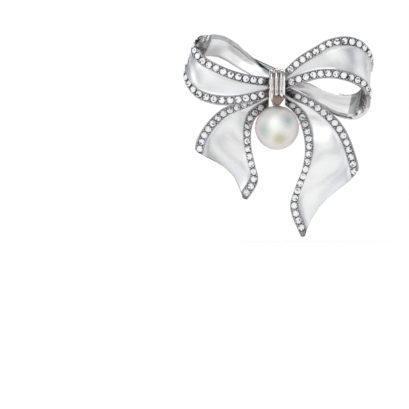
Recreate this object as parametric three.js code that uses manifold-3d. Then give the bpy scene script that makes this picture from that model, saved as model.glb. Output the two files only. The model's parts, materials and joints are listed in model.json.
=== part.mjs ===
// A ribbon-bow brooch set with round stones and one pearl, with its pin, pin joint and safety catch.
// Millimetres. The front faces -Y, +Z is up as it is worn, and +X is to the wearer's left hand.
// The origin lies on the plane of the cloth, behind the middle of the knot.
import * as THREE from "three";
import { mergeVertices } from "three/addons/utils/BufferGeometryUtils.js";
import Module from "manifold-3d";

const wasm = await Module();
wasm.setup();

// ---- overall sizes ----
const BOW_WIDTH = 41.4;
const BOW_HEIGHT = 44.6;
const BOW_DEPTH = 8.8; // from the back panels' rear face to the front panels' face

// ---- ribbon and stones ----
const RIBBON_WALL = 0.8;
const RAIL_WIDTH = 2.1;
const RAIL_LIFT = 0.35;
const RAIL_LIP = 0.3;
const SETTING_GAP = 0.18; // from a stone to the lip beside it
const STONE_RADIUS = RAIL_WIDTH / 2 - RAIL_LIP - SETTING_GAP;
const STONE_PITCH = 1.6;
const STONE_HEIGHT = 0.5;
const STONE_SIDES = 6;
const SEAT_GAP = 0.26;

// ---- knot ----
const KNOT_HALF_HEIGHT = 3.2;
const KNOT_HALF_WIDTH = 1.25;
const KNOT_CORNER = 1.4;
const WIRE_RADIUS = 0.5;
const WIRE_COUNT = 3;

// ---- pearl and its cup ----
const PEARL_RADIUS = 4.75;
const CUP_WALL = 0.4;
const PEG_RADIUS = 0.4;
const PEG_DEPTH = 3.4;

// ---- pin, joint and catch ----
const PIN_RADIUS = 0.425;
const PIN_OVERHANG = 1.7; // past the middle of the catch
const EYE_RADIUS = 1.0;
const EYE_WIDTH = 0.9;
const EAR_WALL = 0.5;
const RIVET_RADIUS = 0.4;
const BARREL_RADIUS = 1.2;
const BARREL_WALL = 0.3;
const BARREL_LENGTH = 4.6;
const COLLAR_LENGTH = 0.55;
const ROTOR_WALL = 0.26;
const LEVER_WIDTH = 0.7;
const LEVER_REACH = 2.0;
const PLATE_WALL = 0.6;
const FOOT_HEIGHT = 0.45;

// ---- clearances ----
const RUN_GAP = 0.05; // between pieces that turn in each other
const SOLDER_GAP = 0.1; // between pieces that are soldered face to face
const REST_GAP = 0.15; // between pieces that only lie against each other

const BACK_Y = -1.7; // rear face of the loops' back panels
const CUP_RADIUS = PEARL_RADIUS + SOLDER_GAP + CUP_WALL;
const KNOT_SIDE = KNOT_HALF_WIDTH + 0.5; // where the ribbons start beside the knot
const PIN_Y = BACK_Y + SOLDER_GAP + PLATE_WALL + SOLDER_GAP / 2 + FOOT_HEIGHT + BARREL_RADIUS;

// The stations below are laid out for this bow and are stretched to the sizes above.
const LAID_WIDTH = 41.4;
const LAID_HEIGHT = 44.6;
const LAID_DEPTH = 8.8;
const LAID_PEARL_Z = -8.8;
const LAID_PEARL_SIDE = 6.4;
const LAID_KNOT_SIDE = 1.75;

const PEARL_Z = -(KNOT_HALF_HEIGHT + 2 * WIRE_RADIUS - REST_GAP + PEARL_RADIUS);
const PEARL_Y = BACK_Y - CUP_RADIUS + 0.25;
const PEARL_SIDE = CUP_RADIUS + SOLDER_GAP + RAIL_WIDTH / 2;

// ---- finishes ----
const metal = (colour, roughness) =>
  new THREE.MeshStandardMaterial({ color: colour, roughness, metalness: 1 });
const RIBBON_METAL = metal(0xdcdee1, 0.3);
const BRIGHT_METAL = metal(0xe4e5e8, 0.12);
const STEEL = metal(0xc9ccd0, 0.2);
const STONE = new THREE.MeshStandardMaterial({ color: 0xf2f5f8, roughness: 0.05, metalness: 0.1 });
const NACRE = new THREE.MeshStandardMaterial({ color: 0xf4f0ee, roughness: 0.25, metalness: 0 });

const brooch = new THREE.Group();

// ---- small tools ----
function toSolid(geometry) {
  const bare = geometry.clone();
  bare.deleteAttribute("normal");
  bare.deleteAttribute("uv");
  const merged = mergeVertices(bare, 1e-4);
  const make = (triVerts) => {
    const vertProperties = new Float32Array(merged.attributes.position.array);
    return new wasm.Manifold(new wasm.Mesh({ numProp: 3, vertProperties, triVerts }));
  };
  const faces = new Uint32Array(merged.index.array);
  const solid = make(faces);
  return solid.volume() > 0 ? solid : make(faces.toReversed());
}

function toGeometry(solid) {
  const made = solid.getMesh();
  const geometry = new THREE.BufferGeometry();
  geometry.setAttribute("position", new THREE.BufferAttribute(made.vertProperties, 3));
  geometry.setIndex(new THREE.BufferAttribute(made.triVerts, 1));
  geometry.computeVertexNormals();
  return geometry;
}

function joined(geometries) {
  let whole = toSolid(geometries[0]);
  for (const geometry of geometries.slice(1)) {
    whole = whole.add(toSolid(geometry));
  }
  return whole;
}

function addPiece(group, name, geometry, material) {
  const mesh = new THREE.Mesh(geometry, material);
  mesh.name = name;
  group.add(mesh);
}

function cylinderAlong(axis, radius, length, sides = 20) {
  const geometry = new THREE.CylinderGeometry(radius, radius, length, sides);
  if (axis === "x") {
    geometry.rotateZ(-Math.PI / 2);
  }
  if (axis === "z") {
    geometry.rotateX(Math.PI / 2);
  }
  return geometry;
}

// Closes a row of matching rings into one solid, with a cap at each end.
function solidFromRings(rings) {
  const count = rings[0].length;
  const positions = rings.flat().flatMap((p) => [p.x, p.y, p.z]);
  const index = [];
  for (let i = 0; i + 1 < rings.length; i += 1) {
    for (let j = 0; j < count; j += 1) {
      const k = (j + 1) % count;
      const a = i * count + j;
      const b = i * count + k;
      index.push(a, b, b + count, a, b + count, a + count);
    }
  }
  const cap = (ring, start, flip) => {
    const across = ring[Math.floor(count * 0.6)].clone().sub(ring[0]).normalize();
    const middle = ring.reduce((sum, p) => sum.add(p), new THREE.Vector3()).divideScalar(count);
    const normal = new THREE.Vector3();
    ring.forEach((p, j) => {
      const next = ring[(j + 1) % count].clone().sub(middle);
      normal.add(p.clone().sub(middle).cross(next));
    });
    const up = normal.normalize().clone().cross(across).normalize();
    const side = up.clone().cross(normal);
    const flat = ring.map((p) => new THREE.Vector2(p.dot(side), p.dot(up)));
    for (const [a, b, c] of THREE.ShapeUtils.triangulateShape(flat, [])) {
      const face = flip ? [c, b, a] : [a, b, c];
      index.push(...face.map((v) => v + start));
    }
  };
  cap(rings[0], 0, true);
  cap(rings[rings.length - 1], (rings.length - 1) * count, false);
  const geometry = new THREE.BufferGeometry();
  geometry.setAttribute("position", new THREE.Float32BufferAttribute(positions, 3));
  geometry.setIndex(index);
  return toGeometry(toSolid(geometry));
}

// ---- ribbons ----
// A ribbon runs between two stone lines, a and b. Each station is [a x, y, z, b x, y, z].
// Its decorated face looks along (way of travel) x (a to b).
class Ribbon {
  constructor({ stations, place, railEnds, crown, bow, steps }) {
    const placed = stations.map((row) => [place(row.slice(0, 3)), place(row.slice(3))]);
    this.a = new THREE.CatmullRomCurve3(placed.map((pair) => pair[0]));
    this.b = new THREE.CatmullRomCurve3(placed.map((pair) => pair[1]));
    this.railEnds = railEnds;
    this.crown = crown;
    this.bow = bow;
    this.steps = steps;
  }

  middle(u) {
    return this.a.getPoint(u).lerp(this.b.getPoint(u), 0.5);
  }

  normal(u) {
    const ahead = this.middle(Math.min(u + 0.01, 1));
    const along = ahead.sub(this.middle(Math.max(u - 0.01, 0)));
    return along.cross(this.b.getPoint(u).sub(this.a.getPoint(u))).normalize();
  }

  // A point at a distance from edge a, at a height over the panel's face.
  point(u, distance, height) {
    const span = this.a.getPoint(u).distanceTo(this.b.getPoint(u));
    const v = (distance - RAIL_WIDTH / 2) / span;
    const hump = Math.max(0, 4 * v * (1 - v));
    const w = Math.max(0, u - this.bow * hump * u ** 4);
    const lift = height + this.crown * hump * Math.sin(Math.PI * Math.min(1, w * 1.6));
    return this.a
      .getPoint(w)
      .lerp(this.b.getPoint(w), v)
      .addScaledVector(this.normal(w), lift);
  }

  ring(u) {
    const width = this.a.getPoint(u).distanceTo(this.b.getPoint(u)) + RAIL_WIDTH;
    const rail = Math.min(RAIL_WIDTH, 0.46 * width);
    const lip = (RAIL_LIP * rail) / RAIL_WIDTH;
    const slope = 0.04;
    const lifts = this.railEnds.map((end) => (u <= end ? RAIL_LIFT : 0));
    const railFace = [
      [0, 1],
      [lip, 1],
      [lip + slope, 0],
      [rail - lip - slope, 0],
      [rail - lip, 1],
      [rail - slope, 1],
      [rail, 0],
    ];
    const face = railFace.map(([s, h]) => [s, h * lifts[0]]);
    for (const share of [0.25, 0.5, 0.75]) {
      face.push([rail + share * (width - 2 * rail), 0]);
    }
    face.push(...railFace.toReversed().map(([s, h]) => [width - s, h * lifts[1]]));
    for (const share of [1, 0.75, 0.5, 0.25, 0]) {
      face.push([share * width, -RIBBON_WALL]);
    }
    return face.map(([s, h]) => this.point(u, s, h));
  }

  geometry() {
    const places = Array.from({ length: this.steps + 1 }, (_, i) => i / this.steps);
    const ends = this.railEnds.filter((end) => end < 1);
    places.push(...ends, ...ends.map((end) => end + 0.004));
    const sorted = [...new Set(places)].sort((p, q) => p - q);
    const kept = sorted.filter((u, i) => i === 0 || u - sorted[i - 1] > 0.0035);
    return solidFromRings(kept.map((u) => this.ring(u)));
  }

  // The stones of one line, joined by a thin web along their seat.
  stones(line, start, end) {
    const curve = line === "a" ? this.a : this.b;
    const fine = 400;
    const path = [];
    let length = 0;
    for (let i = 0; i <= fine; i += 1) {
      const u = start + ((end - start) * i) / fine;
      const point = curve.getPoint(u);
      length += i ? point.distanceTo(path[i - 1].point) : 0;
      path.push({ u, point, length });
    }
    const count = Math.floor(length / STONE_PITCH) + 1;
    const solids = [];
    let last = null;
    for (let i = 0; i < count; i += 1) {
      const goal = (length * i) / (count - 1);
      const { u, point } = path.find((p) => p.length >= goal - 1e-9);
      const normal = this.normal(u);
      const stone = new THREE.CylinderGeometry(
        STONE_RADIUS * 0.62,
        STONE_RADIUS,
        STONE_HEIGHT,
        STONE_SIDES,
      );
      const turn = new THREE.Quaternion().setFromUnitVectors(new THREE.Vector3(0, 1, 0), normal);
      const centre = point.clone().addScaledVector(normal, SEAT_GAP + STONE_HEIGHT / 2);
      stone.applyQuaternion(turn).translate(centre.x, centre.y, centre.z);
      solids.push(stone);
      if (last) {
        solids.push(web(last, centre, normal));
      }
      last = centre;
    }
    return toGeometry(joined(solids));
  }
}

// A thin bar from one stone to the next.
function web(from, to, normal) {
  const along = to.clone().sub(from);
  const bar = new THREE.BoxGeometry(along.length(), 0.2, 0.3);
  const x = along.clone().normalize();
  const z = x.clone().cross(normal).normalize();
  const y = z.clone().cross(x);
  const middle = from.clone().add(to).multiplyScalar(0.5);
  bar.applyMatrix4(new THREE.Matrix4().makeBasis(x, y, z).setPosition(middle));
  return bar;
}

const SCALE_X = BOW_WIDTH / LAID_WIDTH;
const SCALE_Z = BOW_HEIGHT / LAID_HEIGHT;
const SCALE_Y = BOW_DEPTH / LAID_DEPTH;

const deep = (y) => BACK_Y + (y - BACK_Y) * SCALE_Y;
const beside = (x) => Math.sign(x) * (KNOT_SIDE + (Math.abs(x) - LAID_KNOT_SIDE) * SCALE_X);
const placeLoop = ([x, y, z]) => new THREE.Vector3(beside(x), deep(y), z * SCALE_Z);

// A tail keeps clear of the pearl beside it, and only stretches below the pearl's middle.
function placeTail([x, y, z]) {
  const past = Math.max(0, Math.abs(x) - LAID_PEARL_SIDE);
  const inside = Math.min(Math.abs(x), LAID_PEARL_SIDE) - LAID_KNOT_SIDE;
  const reach = (PEARL_SIDE - KNOT_SIDE) / (LAID_PEARL_SIDE - LAID_KNOT_SIDE);
  const width = KNOT_SIDE + inside * reach + past * SCALE_X;
  const above = (Math.max(z, LAID_PEARL_Z) * PEARL_Z) / LAID_PEARL_Z;
  const below = Math.min(0, z - LAID_PEARL_Z) * SCALE_Z;
  return new THREE.Vector3(Math.sign(x) * width, deep(y), above + below);
}

const leftLoop = new Ribbon({
  stations: [
    [-1.75, -8.6, 1.0, -1.75, -8.6, -1.3],
    [-6.3, -9.8, 1.6, -6.2, -10.0, -2.4],
    [-10.0, -10.3, 2.6, -10.0, -10.5, -2.95],
    [-13.1, -10.2, 3.95, -13.7, -10.4, -2.7],
    [-15.9, -9.4, 5.5, -16.9, -9.5, -1.5],
    [-17.4, -8.1, 7.2, -18.9, -8.0, 0.8],
    [-17.7, -6.4, 9.0, -19.6, -6.2, 3.5],
    [-17.0, -4.1, 10.3, -18.8, -3.9, 5.6],
    [-14.9, -2.2, 10.6, -16.4, -2.2, 7.4],
    [-12.0, -1.7, 10.2, -13.0, -1.7, 7.6],
    [-9.5, -1.7, 8.8, -10.7, -1.7, 6.7],
    [-7.0, -1.8, 6.6, -7.9, -1.8, 5.0],
    [-4.3, -2.0, 4.2, -5.0, -2.4, 3.3],
    [-1.75, -2.4, 2.5, -1.75, -3.2, 1.5],
  ],
  place: placeLoop,
  railEnds: [0.47, 0.47],
  crown: 0.35,
  bow: 0,
  steps: 34,
});

const rightLoop = new Ribbon({
  stations: [
    [1.75, -8.6, 0.5, 1.75, -8.6, 2.7],
    [5.6, -9.8, 1.9, 5.0, -9.6, 5.5],
    [9.4, -10.3, 2.8, 8.4, -10.1, 7.6],
    [12.9, -10.5, 2.7, 11.5, -10.2, 9.3],
    [16.1, -9.8, 1.9, 15.0, -9.7, 9.8],
    [18.4, -8.5, 0.8, 17.9, -8.5, 9.0],
    [19.8, -6.9, -0.9, 19.9, -6.9, 6.9],
    [20.2, -5.1, -2.9, 20.4, -4.9, 4.2],
    [19.2, -3.1, -4.9, 19.8, -3.1, 1.2],
    [16.9, -1.9, -6.0, 17.6, -1.9, -2.0],
    [13.6, -1.7, -5.4, 14.2, -1.7, -2.7],
    [9.8, -1.7, -3.3, 10.2, -1.7, -1.8],
    [6.2, -1.9, -1.5, 6.6, -1.9, -0.1],
    [1.75, -2.8, -0.8, 1.75, -2.6, 0.6],
  ],
  place: placeLoop,
  railEnds: [0.49, 0.535],
  crown: 0.35,
  bow: 0,
  steps: 34,
});

const leftTail = new Ribbon({
  stations: [
    [-1.75, -5.2, -1.0, -1.75, -4.8, -3.2],
    [-4.8, -5.4, -2.6, -3.8, -4.4, -4.6],
    [-8.2, -5.2, -4.2, -5.6, -4.3, -6.4],
    [-11.2, -4.8, -5.5, -6.4, -4.6, -9.1],
    [-13.7, -4.6, -7.7, -6.4, -4.9, -12.4],
    [-15.5, -5.0, -10.1, -5.7, -4.7, -16.0],
    [-16.5, -5.6, -12.4, -5.0, -4.5, -19.8],
    [-16.9, -6.2, -14.3, -7.4, -4.9, -24.1],
  ],
  place: placeTail,
  railEnds: [1, 1],
  crown: 0.2,
  bow: 0.09,
  steps: 28,
});

const rightTail = new Ribbon({
  stations: [
    [1.75, -4.8, -2.8, 1.75, -5.2, -0.6],
    [3.8, -4.4, -4.2, 5.2, -5.4, -2.3],
    [5.6, -4.3, -6.6, 8.6, -5.2, -4.3],
    [6.6, -4.6, -9.8, 11.4, -4.8, -6.6],
    [7.0, -5.0, -13.2, 13.7, -4.6, -9.4],
    [6.4, -4.9, -17.2, 15.2, -4.8, -12.5],
    [5.0, -4.6, -21.0, 16.2, -5.2, -15.6],
    [3.8, -4.7, -25.6, 16.7, -5.8, -17.7],
    [6.1, -5.2, -32.3, 16.8, -6.2, -19.1],
  ],
  place: placeTail,
  railEnds: [1, 1],
  crown: 0.2,
  bow: 0.06,
  steps: 28,
});

addPiece(brooch, "left_loop_ribbon", leftLoop.geometry(), RIBBON_METAL);
addPiece(brooch, "right_loop_ribbon", rightLoop.geometry(), RIBBON_METAL);
addPiece(brooch, "left_tail_ribbon", leftTail.geometry(), RIBBON_METAL);
addPiece(brooch, "right_tail_ribbon", rightTail.geometry(), RIBBON_METAL);

const STONE_ROWS = [
  ["left_loop_upper_stones", leftLoop, "a", 0.03, 0.46],
  ["left_loop_lower_stones", leftLoop, "b", 0.03, 0.46],
  ["right_loop_lower_stones", rightLoop, "a", 0.03, 0.48],
  ["right_loop_upper_stones", rightLoop, "b", 0.03, 0.525],
  ["left_tail_outer_stones", leftTail, "a", 0.12, 0.97],
  ["left_tail_inner_stones", leftTail, "b", 0.12, 0.96],
  ["right_tail_inner_stones", rightTail, "a", 0.1, 0.965],
  ["right_tail_outer_stones", rightTail, "b", 0.1, 0.97],
];
for (const [name, ribbon, line, start, end] of STONE_ROWS) {
  addPiece(brooch, name, ribbon.stones(line, start, end), STONE);
}

// ---- knot ----
const KNOT_FRONT = deep(-9.8);
const KNOT_BACK = BACK_Y - 0.3;

function roundedBox(low, high, corner) {
  const shape = new THREE.Shape();
  shape.moveTo(low.x + corner, low.y);
  shape.lineTo(high.x - corner, low.y);
  shape.absarc(high.x - corner, low.y + corner, corner, -Math.PI / 2, 0);
  shape.lineTo(high.x, high.y - corner);
  shape.absarc(high.x - corner, high.y - corner, corner, 0, Math.PI / 2);
  shape.lineTo(low.x + corner, high.y);
  shape.absarc(low.x + corner, high.y - corner, corner, Math.PI / 2, Math.PI);
  shape.lineTo(low.x, low.y + corner);
  shape.absarc(low.x + corner, low.y + corner, corner, Math.PI, 1.5 * Math.PI);
  return shape;
}

// The core's outline lies in the Y-Z plane and is extruded along X.
const coreOutline = roundedBox(
  new THREE.Vector2(KNOT_FRONT, -KNOT_HALF_HEIGHT),
  new THREE.Vector2(KNOT_BACK, KNOT_HALF_HEIGHT),
  KNOT_CORNER,
);
const alongX = new THREE.Matrix4().makeBasis(
  new THREE.Vector3(0, 1, 0),
  new THREE.Vector3(0, 0, 1),
  new THREE.Vector3(1, 0, 0),
);
const core = new THREE.ExtrudeGeometry(coreOutline, {
  depth: 2 * KNOT_HALF_WIDTH,
  bevelEnabled: false,
  curveSegments: 5,
});
core.translate(0, 0, -KNOT_HALF_WIDTH).applyMatrix4(alongX);
addPiece(brooch, "knot_core", core, BRIGHT_METAL);

// Each wire runs from the core's lower front edge over the top to its lower back edge.
function wirePath(x) {
  const out = REST_GAP + WIRE_RADIUS;
  const outline = [
    [KNOT_FRONT + KNOT_CORNER * 0.35, -KNOT_HALF_HEIGHT + KNOT_CORNER * 0.35, -0.75, -0.75],
    [KNOT_FRONT, -KNOT_HALF_HEIGHT + KNOT_CORNER, -1, 0],
    [KNOT_FRONT, 0, -1.2, 0],
    [KNOT_FRONT, KNOT_HALF_HEIGHT - KNOT_CORNER, -1, 0],
    [KNOT_FRONT + KNOT_CORNER * 0.3, KNOT_HALF_HEIGHT - KNOT_CORNER * 0.3, -0.75, 0.75],
    [KNOT_FRONT + KNOT_CORNER, KNOT_HALF_HEIGHT, 0, 1],
    [KNOT_BACK - KNOT_CORNER, KNOT_HALF_HEIGHT, 0, 1],
    [KNOT_BACK - KNOT_CORNER * 0.3, KNOT_HALF_HEIGHT - KNOT_CORNER * 0.3, 0.75, 0.75],
    [KNOT_BACK, KNOT_HALF_HEIGHT - KNOT_CORNER, 1, 0],
    [KNOT_BACK, -KNOT_HALF_HEIGHT + KNOT_CORNER, 1, 0],
    [KNOT_BACK - KNOT_CORNER * 0.35, -KNOT_HALF_HEIGHT + KNOT_CORNER * 0.35, 0.75, -0.75],
  ];
  const points = outline.map(([y, z, dy, dz]) => new THREE.Vector3(x, y + dy * out, z + dz * out));
  return new THREE.CatmullRomCurve3(points);
}

function tube(path, radius, steps, sides) {
  const section = new THREE.Shape();
  for (let i = 0; i < sides; i += 1) {
    const angle = (2 * Math.PI * i) / sides;
    const corner = [radius * Math.cos(angle), radius * Math.sin(angle)];
    if (i === 0) {
      section.moveTo(...corner);
    } else {
      section.lineTo(...corner);
    }
  }
  section.closePath();
  return new THREE.ExtrudeGeometry(section, { steps, extrudePath: path, bevelEnabled: false });
}

const WIRE_NAMES = ["knot_wire_left", "knot_wire_middle", "knot_wire_right"];
for (let i = 0; i < WIRE_COUNT; i += 1) {
  const x = (i - (WIRE_COUNT - 1) / 2) * (2 * WIRE_RADIUS + RUN_GAP);
  addPiece(brooch, WIRE_NAMES[i], tube(wirePath(x), WIRE_RADIUS, 24, 8), BRIGHT_METAL);
}

// ---- pearl, its peg and its cup ----
const pearlGroup = new THREE.Group();
pearlGroup.position.set(0, PEARL_Y, PEARL_Z);
brooch.add(pearlGroup);

const pegBack = PEARL_RADIUS - RUN_GAP;
const pegLength = PEG_DEPTH;
const bore = cylinderAlong("y", PEG_RADIUS + RUN_GAP, PEG_DEPTH + 1.5, 16);
bore.translate(0, PEARL_RADIUS - PEG_DEPTH - RUN_GAP * 2 + (PEG_DEPTH + 1.5) / 2, 0);
const pearlSphere = new THREE.SphereGeometry(PEARL_RADIUS, 24, 16);
addPiece(
  pearlGroup,
  "pearl",
  toGeometry(toSolid(pearlSphere).subtract(toSolid(bore))),
  NACRE,
);

const peg = cylinderAlong("y", PEG_RADIUS, pegLength, 16);
peg.translate(0, pegBack - pegLength / 2, 0);
addPiece(pearlGroup, "pearl_peg", peg, STEEL);

function cupShell() {
  const inner = PEARL_RADIUS + SOLDER_GAP;
  const profile = [];
  const rimAngle = THREE.MathUtils.degToRad(88);
  const parts = 9;
  for (let i = 0; i <= parts; i += 1) {
    const angle = (rimAngle * i) / parts;
    profile.push(new THREE.Vector2(CUP_RADIUS * Math.sin(angle), CUP_RADIUS * Math.cos(angle)));
  }
  for (let i = parts; i >= 0; i -= 1) {
    const angle = (rimAngle * i) / parts;
    profile.push(new THREE.Vector2(inner * Math.sin(angle), inner * Math.cos(angle)));
  }
  profile[0].x = 0;
  profile[profile.length - 1].x = 0;
  return new THREE.LatheGeometry(profile, 24);
}

// Three points, to the left tail, to the right tail and up to the knot, with hollows between.
function cupOutline() {
  const far = CUP_RADIUS + 1;
  const dish = PEARL_RADIUS * 0.62;
  const tips = [0.16, Math.PI / 2, Math.PI];
  const hollows = [0.28 * Math.PI, 0.75 * Math.PI, 1.5 * Math.PI];
  const at = (radius, angle) => [radius * Math.cos(angle), -radius * Math.sin(angle)];
  const shape = new THREE.Shape();
  shape.moveTo(...at(far, tips[0]));
  tips.forEach((_, i) => {
    const next = i + 1 < tips.length ? tips[i + 1] : tips[0] + 2 * Math.PI;
    const reach = i + 1 < tips.length ? dish : dish * 1.25;
    shape.quadraticCurveTo(...at(reach * 0.8, hollows[i] - 0.25), ...at(reach, hollows[i]));
    shape.quadraticCurveTo(...at(reach * 0.8, hollows[i] + 0.25), ...at(far, next));
  });
  return shape;
}

const cutter = new THREE.ExtrudeGeometry(cupOutline(), {
  depth: CUP_RADIUS + 1,
  bevelEnabled: false,
  curveSegments: 8,
});
cutter.rotateX(-Math.PI / 2).translate(0, -0.5, 0);
const stemTop = -KNOT_HALF_HEIGHT - SOLDER_GAP - PEARL_Z;
const stemAngle = THREE.MathUtils.degToRad(50);
const stemLow = CUP_RADIUS * Math.sin(stemAngle) - CUP_WALL;
const stem = new THREE.CylinderGeometry(0.55, 0.8, stemTop - stemLow, 12);
stem.rotateX(Math.PI / 2);
stem.translate(0, CUP_RADIUS * Math.cos(stemAngle) + 0.35, (stemTop + stemLow) / 2);
const clearBall = new THREE.SphereGeometry(CUP_RADIUS - CUP_WALL / 2, 16, 10);
const stemEnd = toSolid(stem).subtract(toSolid(clearBall));
const cup = toSolid(cupShell()).intersect(toSolid(cutter)).add(stemEnd);
addPiece(pearlGroup, "pearl_cup", toGeometry(cup), BRIGHT_METAL);

// ---- pin, joint and catch ----
// They share one turned group: local X runs along the pin from the rivet, and local Y points back.
const jointSeat = leftLoop.middle(0.776).lerp(leftLoop.a.getPoint(0.776), 0.4);
const catchSeat = rightLoop.middle(0.745).lerp(rightLoop.b.getPoint(0.745), 0.55);
const rivetAt = new THREE.Vector3(jointSeat.x, PIN_Y, jointSeat.z);
const catchAt = new THREE.Vector3(catchSeat.x, PIN_Y, catchSeat.z);
const pinRun = catchAt.clone().sub(rivetAt);
const CATCH_X = pinRun.length();
const PIN_LENGTH = CATCH_X + PIN_OVERHANG;

const pinGroup = new THREE.Group();
pinGroup.position.copy(rivetAt);
pinGroup.rotation.y = -Math.atan2(pinRun.z, pinRun.x);
brooch.add(pinGroup);

const plateFront = BACK_Y + SOLDER_GAP - PIN_Y;
const plateBack = plateFront + PLATE_WALL;
const seatBack = plateBack + SOLDER_GAP / 2;

// A plate with round ends, lying in the local X-Z plane.
function basePlate(length, width) {
  const low = new THREE.Vector2(-length / 2, -width / 2);
  const high = new THREE.Vector2(length / 2, width / 2);
  const plate = new THREE.ExtrudeGeometry(roundedBox(low, high, width * 0.45), {
    depth: PLATE_WALL,
    bevelEnabled: false,
    curveSegments: 5,
  });
  return plate.rotateX(-Math.PI / 2).translate(0, plateFront, 0);
}

const earGap = EYE_WIDTH / 2 + RUN_GAP;
const forkWidth = 2 * (earGap + EAR_WALL);
addPiece(pinGroup, "joint_base_plate", basePlate(4.4, forkWidth + 0.5), BRIGHT_METAL);

// A fork with two domed ears and a floor under the eye.
function jointFork() {
  const domes = [];
  const floorBack = -EYE_RADIUS - RUN_GAP;
  for (const side of [-1, 1]) {
    const z = side * (earGap + EAR_WALL / 2);
    const ear = cylinderAlong("z", EYE_RADIUS, EAR_WALL, 20);
    const post = new THREE.BoxGeometry(2 * EYE_RADIUS, -seatBack, EAR_WALL);
    domes.push(ear.translate(0, 0, z), post.translate(0, seatBack / 2, z));
  }
  const floorWall = floorBack - seatBack;
  const floor = new THREE.BoxGeometry(2 * EYE_RADIUS, floorWall, forkWidth);
  domes.push(floor.translate(0, seatBack + floorWall / 2, 0));
  const hole = cylinderAlong("z", RIVET_RADIUS + RUN_GAP, forkWidth + 1, 20);
  return toGeometry(joined(domes).subtract(toSolid(hole)));
}
addPiece(pinGroup, "joint_fork", jointFork(), BRIGHT_METAL);

// A shank through both ears with a domed head at each end.
function jointRivet() {
  const headWall = 0.28;
  const shank = forkWidth / 2 + RUN_GAP;
  const profile = [
    new THREE.Vector2(0, -shank - headWall),
    new THREE.Vector2(RIVET_RADIUS * 1.1, -shank - headWall),
    new THREE.Vector2(RIVET_RADIUS * 1.75, -shank - headWall / 3),
    new THREE.Vector2(RIVET_RADIUS * 1.75, -shank),
    new THREE.Vector2(RIVET_RADIUS, -shank),
    new THREE.Vector2(RIVET_RADIUS, shank),
    new THREE.Vector2(RIVET_RADIUS * 1.75, shank),
    new THREE.Vector2(RIVET_RADIUS * 1.75, shank + headWall / 3),
    new THREE.Vector2(RIVET_RADIUS * 1.1, shank + headWall),
    new THREE.Vector2(0, shank + headWall),
  ];
  return new THREE.LatheGeometry(profile, 20).rotateX(Math.PI / 2);
}
addPiece(pinGroup, "joint_rivet", jointRivet(), STEEL);

// The stem tapers to its point, and its eye is bored for the rivet.
function pinStem() {
  const profile = [
    new THREE.Vector2(0, EYE_RADIUS * 0.5),
    new THREE.Vector2(PIN_RADIUS, EYE_RADIUS * 0.5),
    new THREE.Vector2(PIN_RADIUS, PIN_LENGTH * 0.82),
    new THREE.Vector2(PIN_RADIUS * 0.72, PIN_LENGTH * 0.93),
    new THREE.Vector2(PIN_RADIUS * 0.2, PIN_LENGTH),
    new THREE.Vector2(0, PIN_LENGTH),
  ];
  const stemPart = new THREE.LatheGeometry(profile, 16).rotateZ(-Math.PI / 2);
  const eye = cylinderAlong("z", EYE_RADIUS - RUN_GAP, EYE_WIDTH, 24);
  const hole = cylinderAlong("z", RIVET_RADIUS + RUN_GAP, EYE_WIDTH + 1, 20);
  return toGeometry(joined([eye, stemPart]).subtract(toSolid(hole)));
}
addPiece(pinGroup, "pin_stem", pinStem(), STEEL);

const catchGroup = new THREE.Group();
catchGroup.position.x = CATCH_X;
pinGroup.add(catchGroup);

addPiece(catchGroup, "catch_base_plate", basePlate(5.0, 2 * BARREL_RADIUS + 0.4), BRIGHT_METAL);

const rotorOuter = BARREL_RADIUS - BARREL_WALL - RUN_GAP;
const rotorInner = rotorOuter - ROTOR_WALL;
const rotorHalf = BARREL_LENGTH / 2 - COLLAR_LENGTH - RUN_GAP;
const collarInner = rotorInner;
const slotWidth = 2 * PIN_RADIUS + 4 * RUN_GAP;

function slotBox(reach) {
  const box = new THREE.BoxGeometry(BARREL_LENGTH + 1, reach, slotWidth);
  return box.translate(0, reach / 2, 0);
}

// A wedge around local X from one angle to another, angles counted from +Y towards +Z.
function wedge(length, from, to, reach) {
  const shape = new THREE.Shape();
  shape.moveTo(0, 0);
  const parts = 8;
  for (let i = 0; i <= parts; i += 1) {
    const angle = THREE.MathUtils.degToRad(from + ((to - from) * i) / parts);
    shape.lineTo(-reach * Math.sin(angle), reach * Math.cos(angle));
  }
  shape.closePath();
  const made = new THREE.ExtrudeGeometry(shape, { depth: length, bevelEnabled: false });
  return made.translate(0, 0, -length / 2).rotateY(Math.PI / 2);
}

const leverHalfAngle = THREE.MathUtils.radToDeg(Math.asin(LEVER_WIDTH / 2 / BARREL_RADIUS));
const LEVER_REST = 128; // degrees from the slot with the catch open

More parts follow.
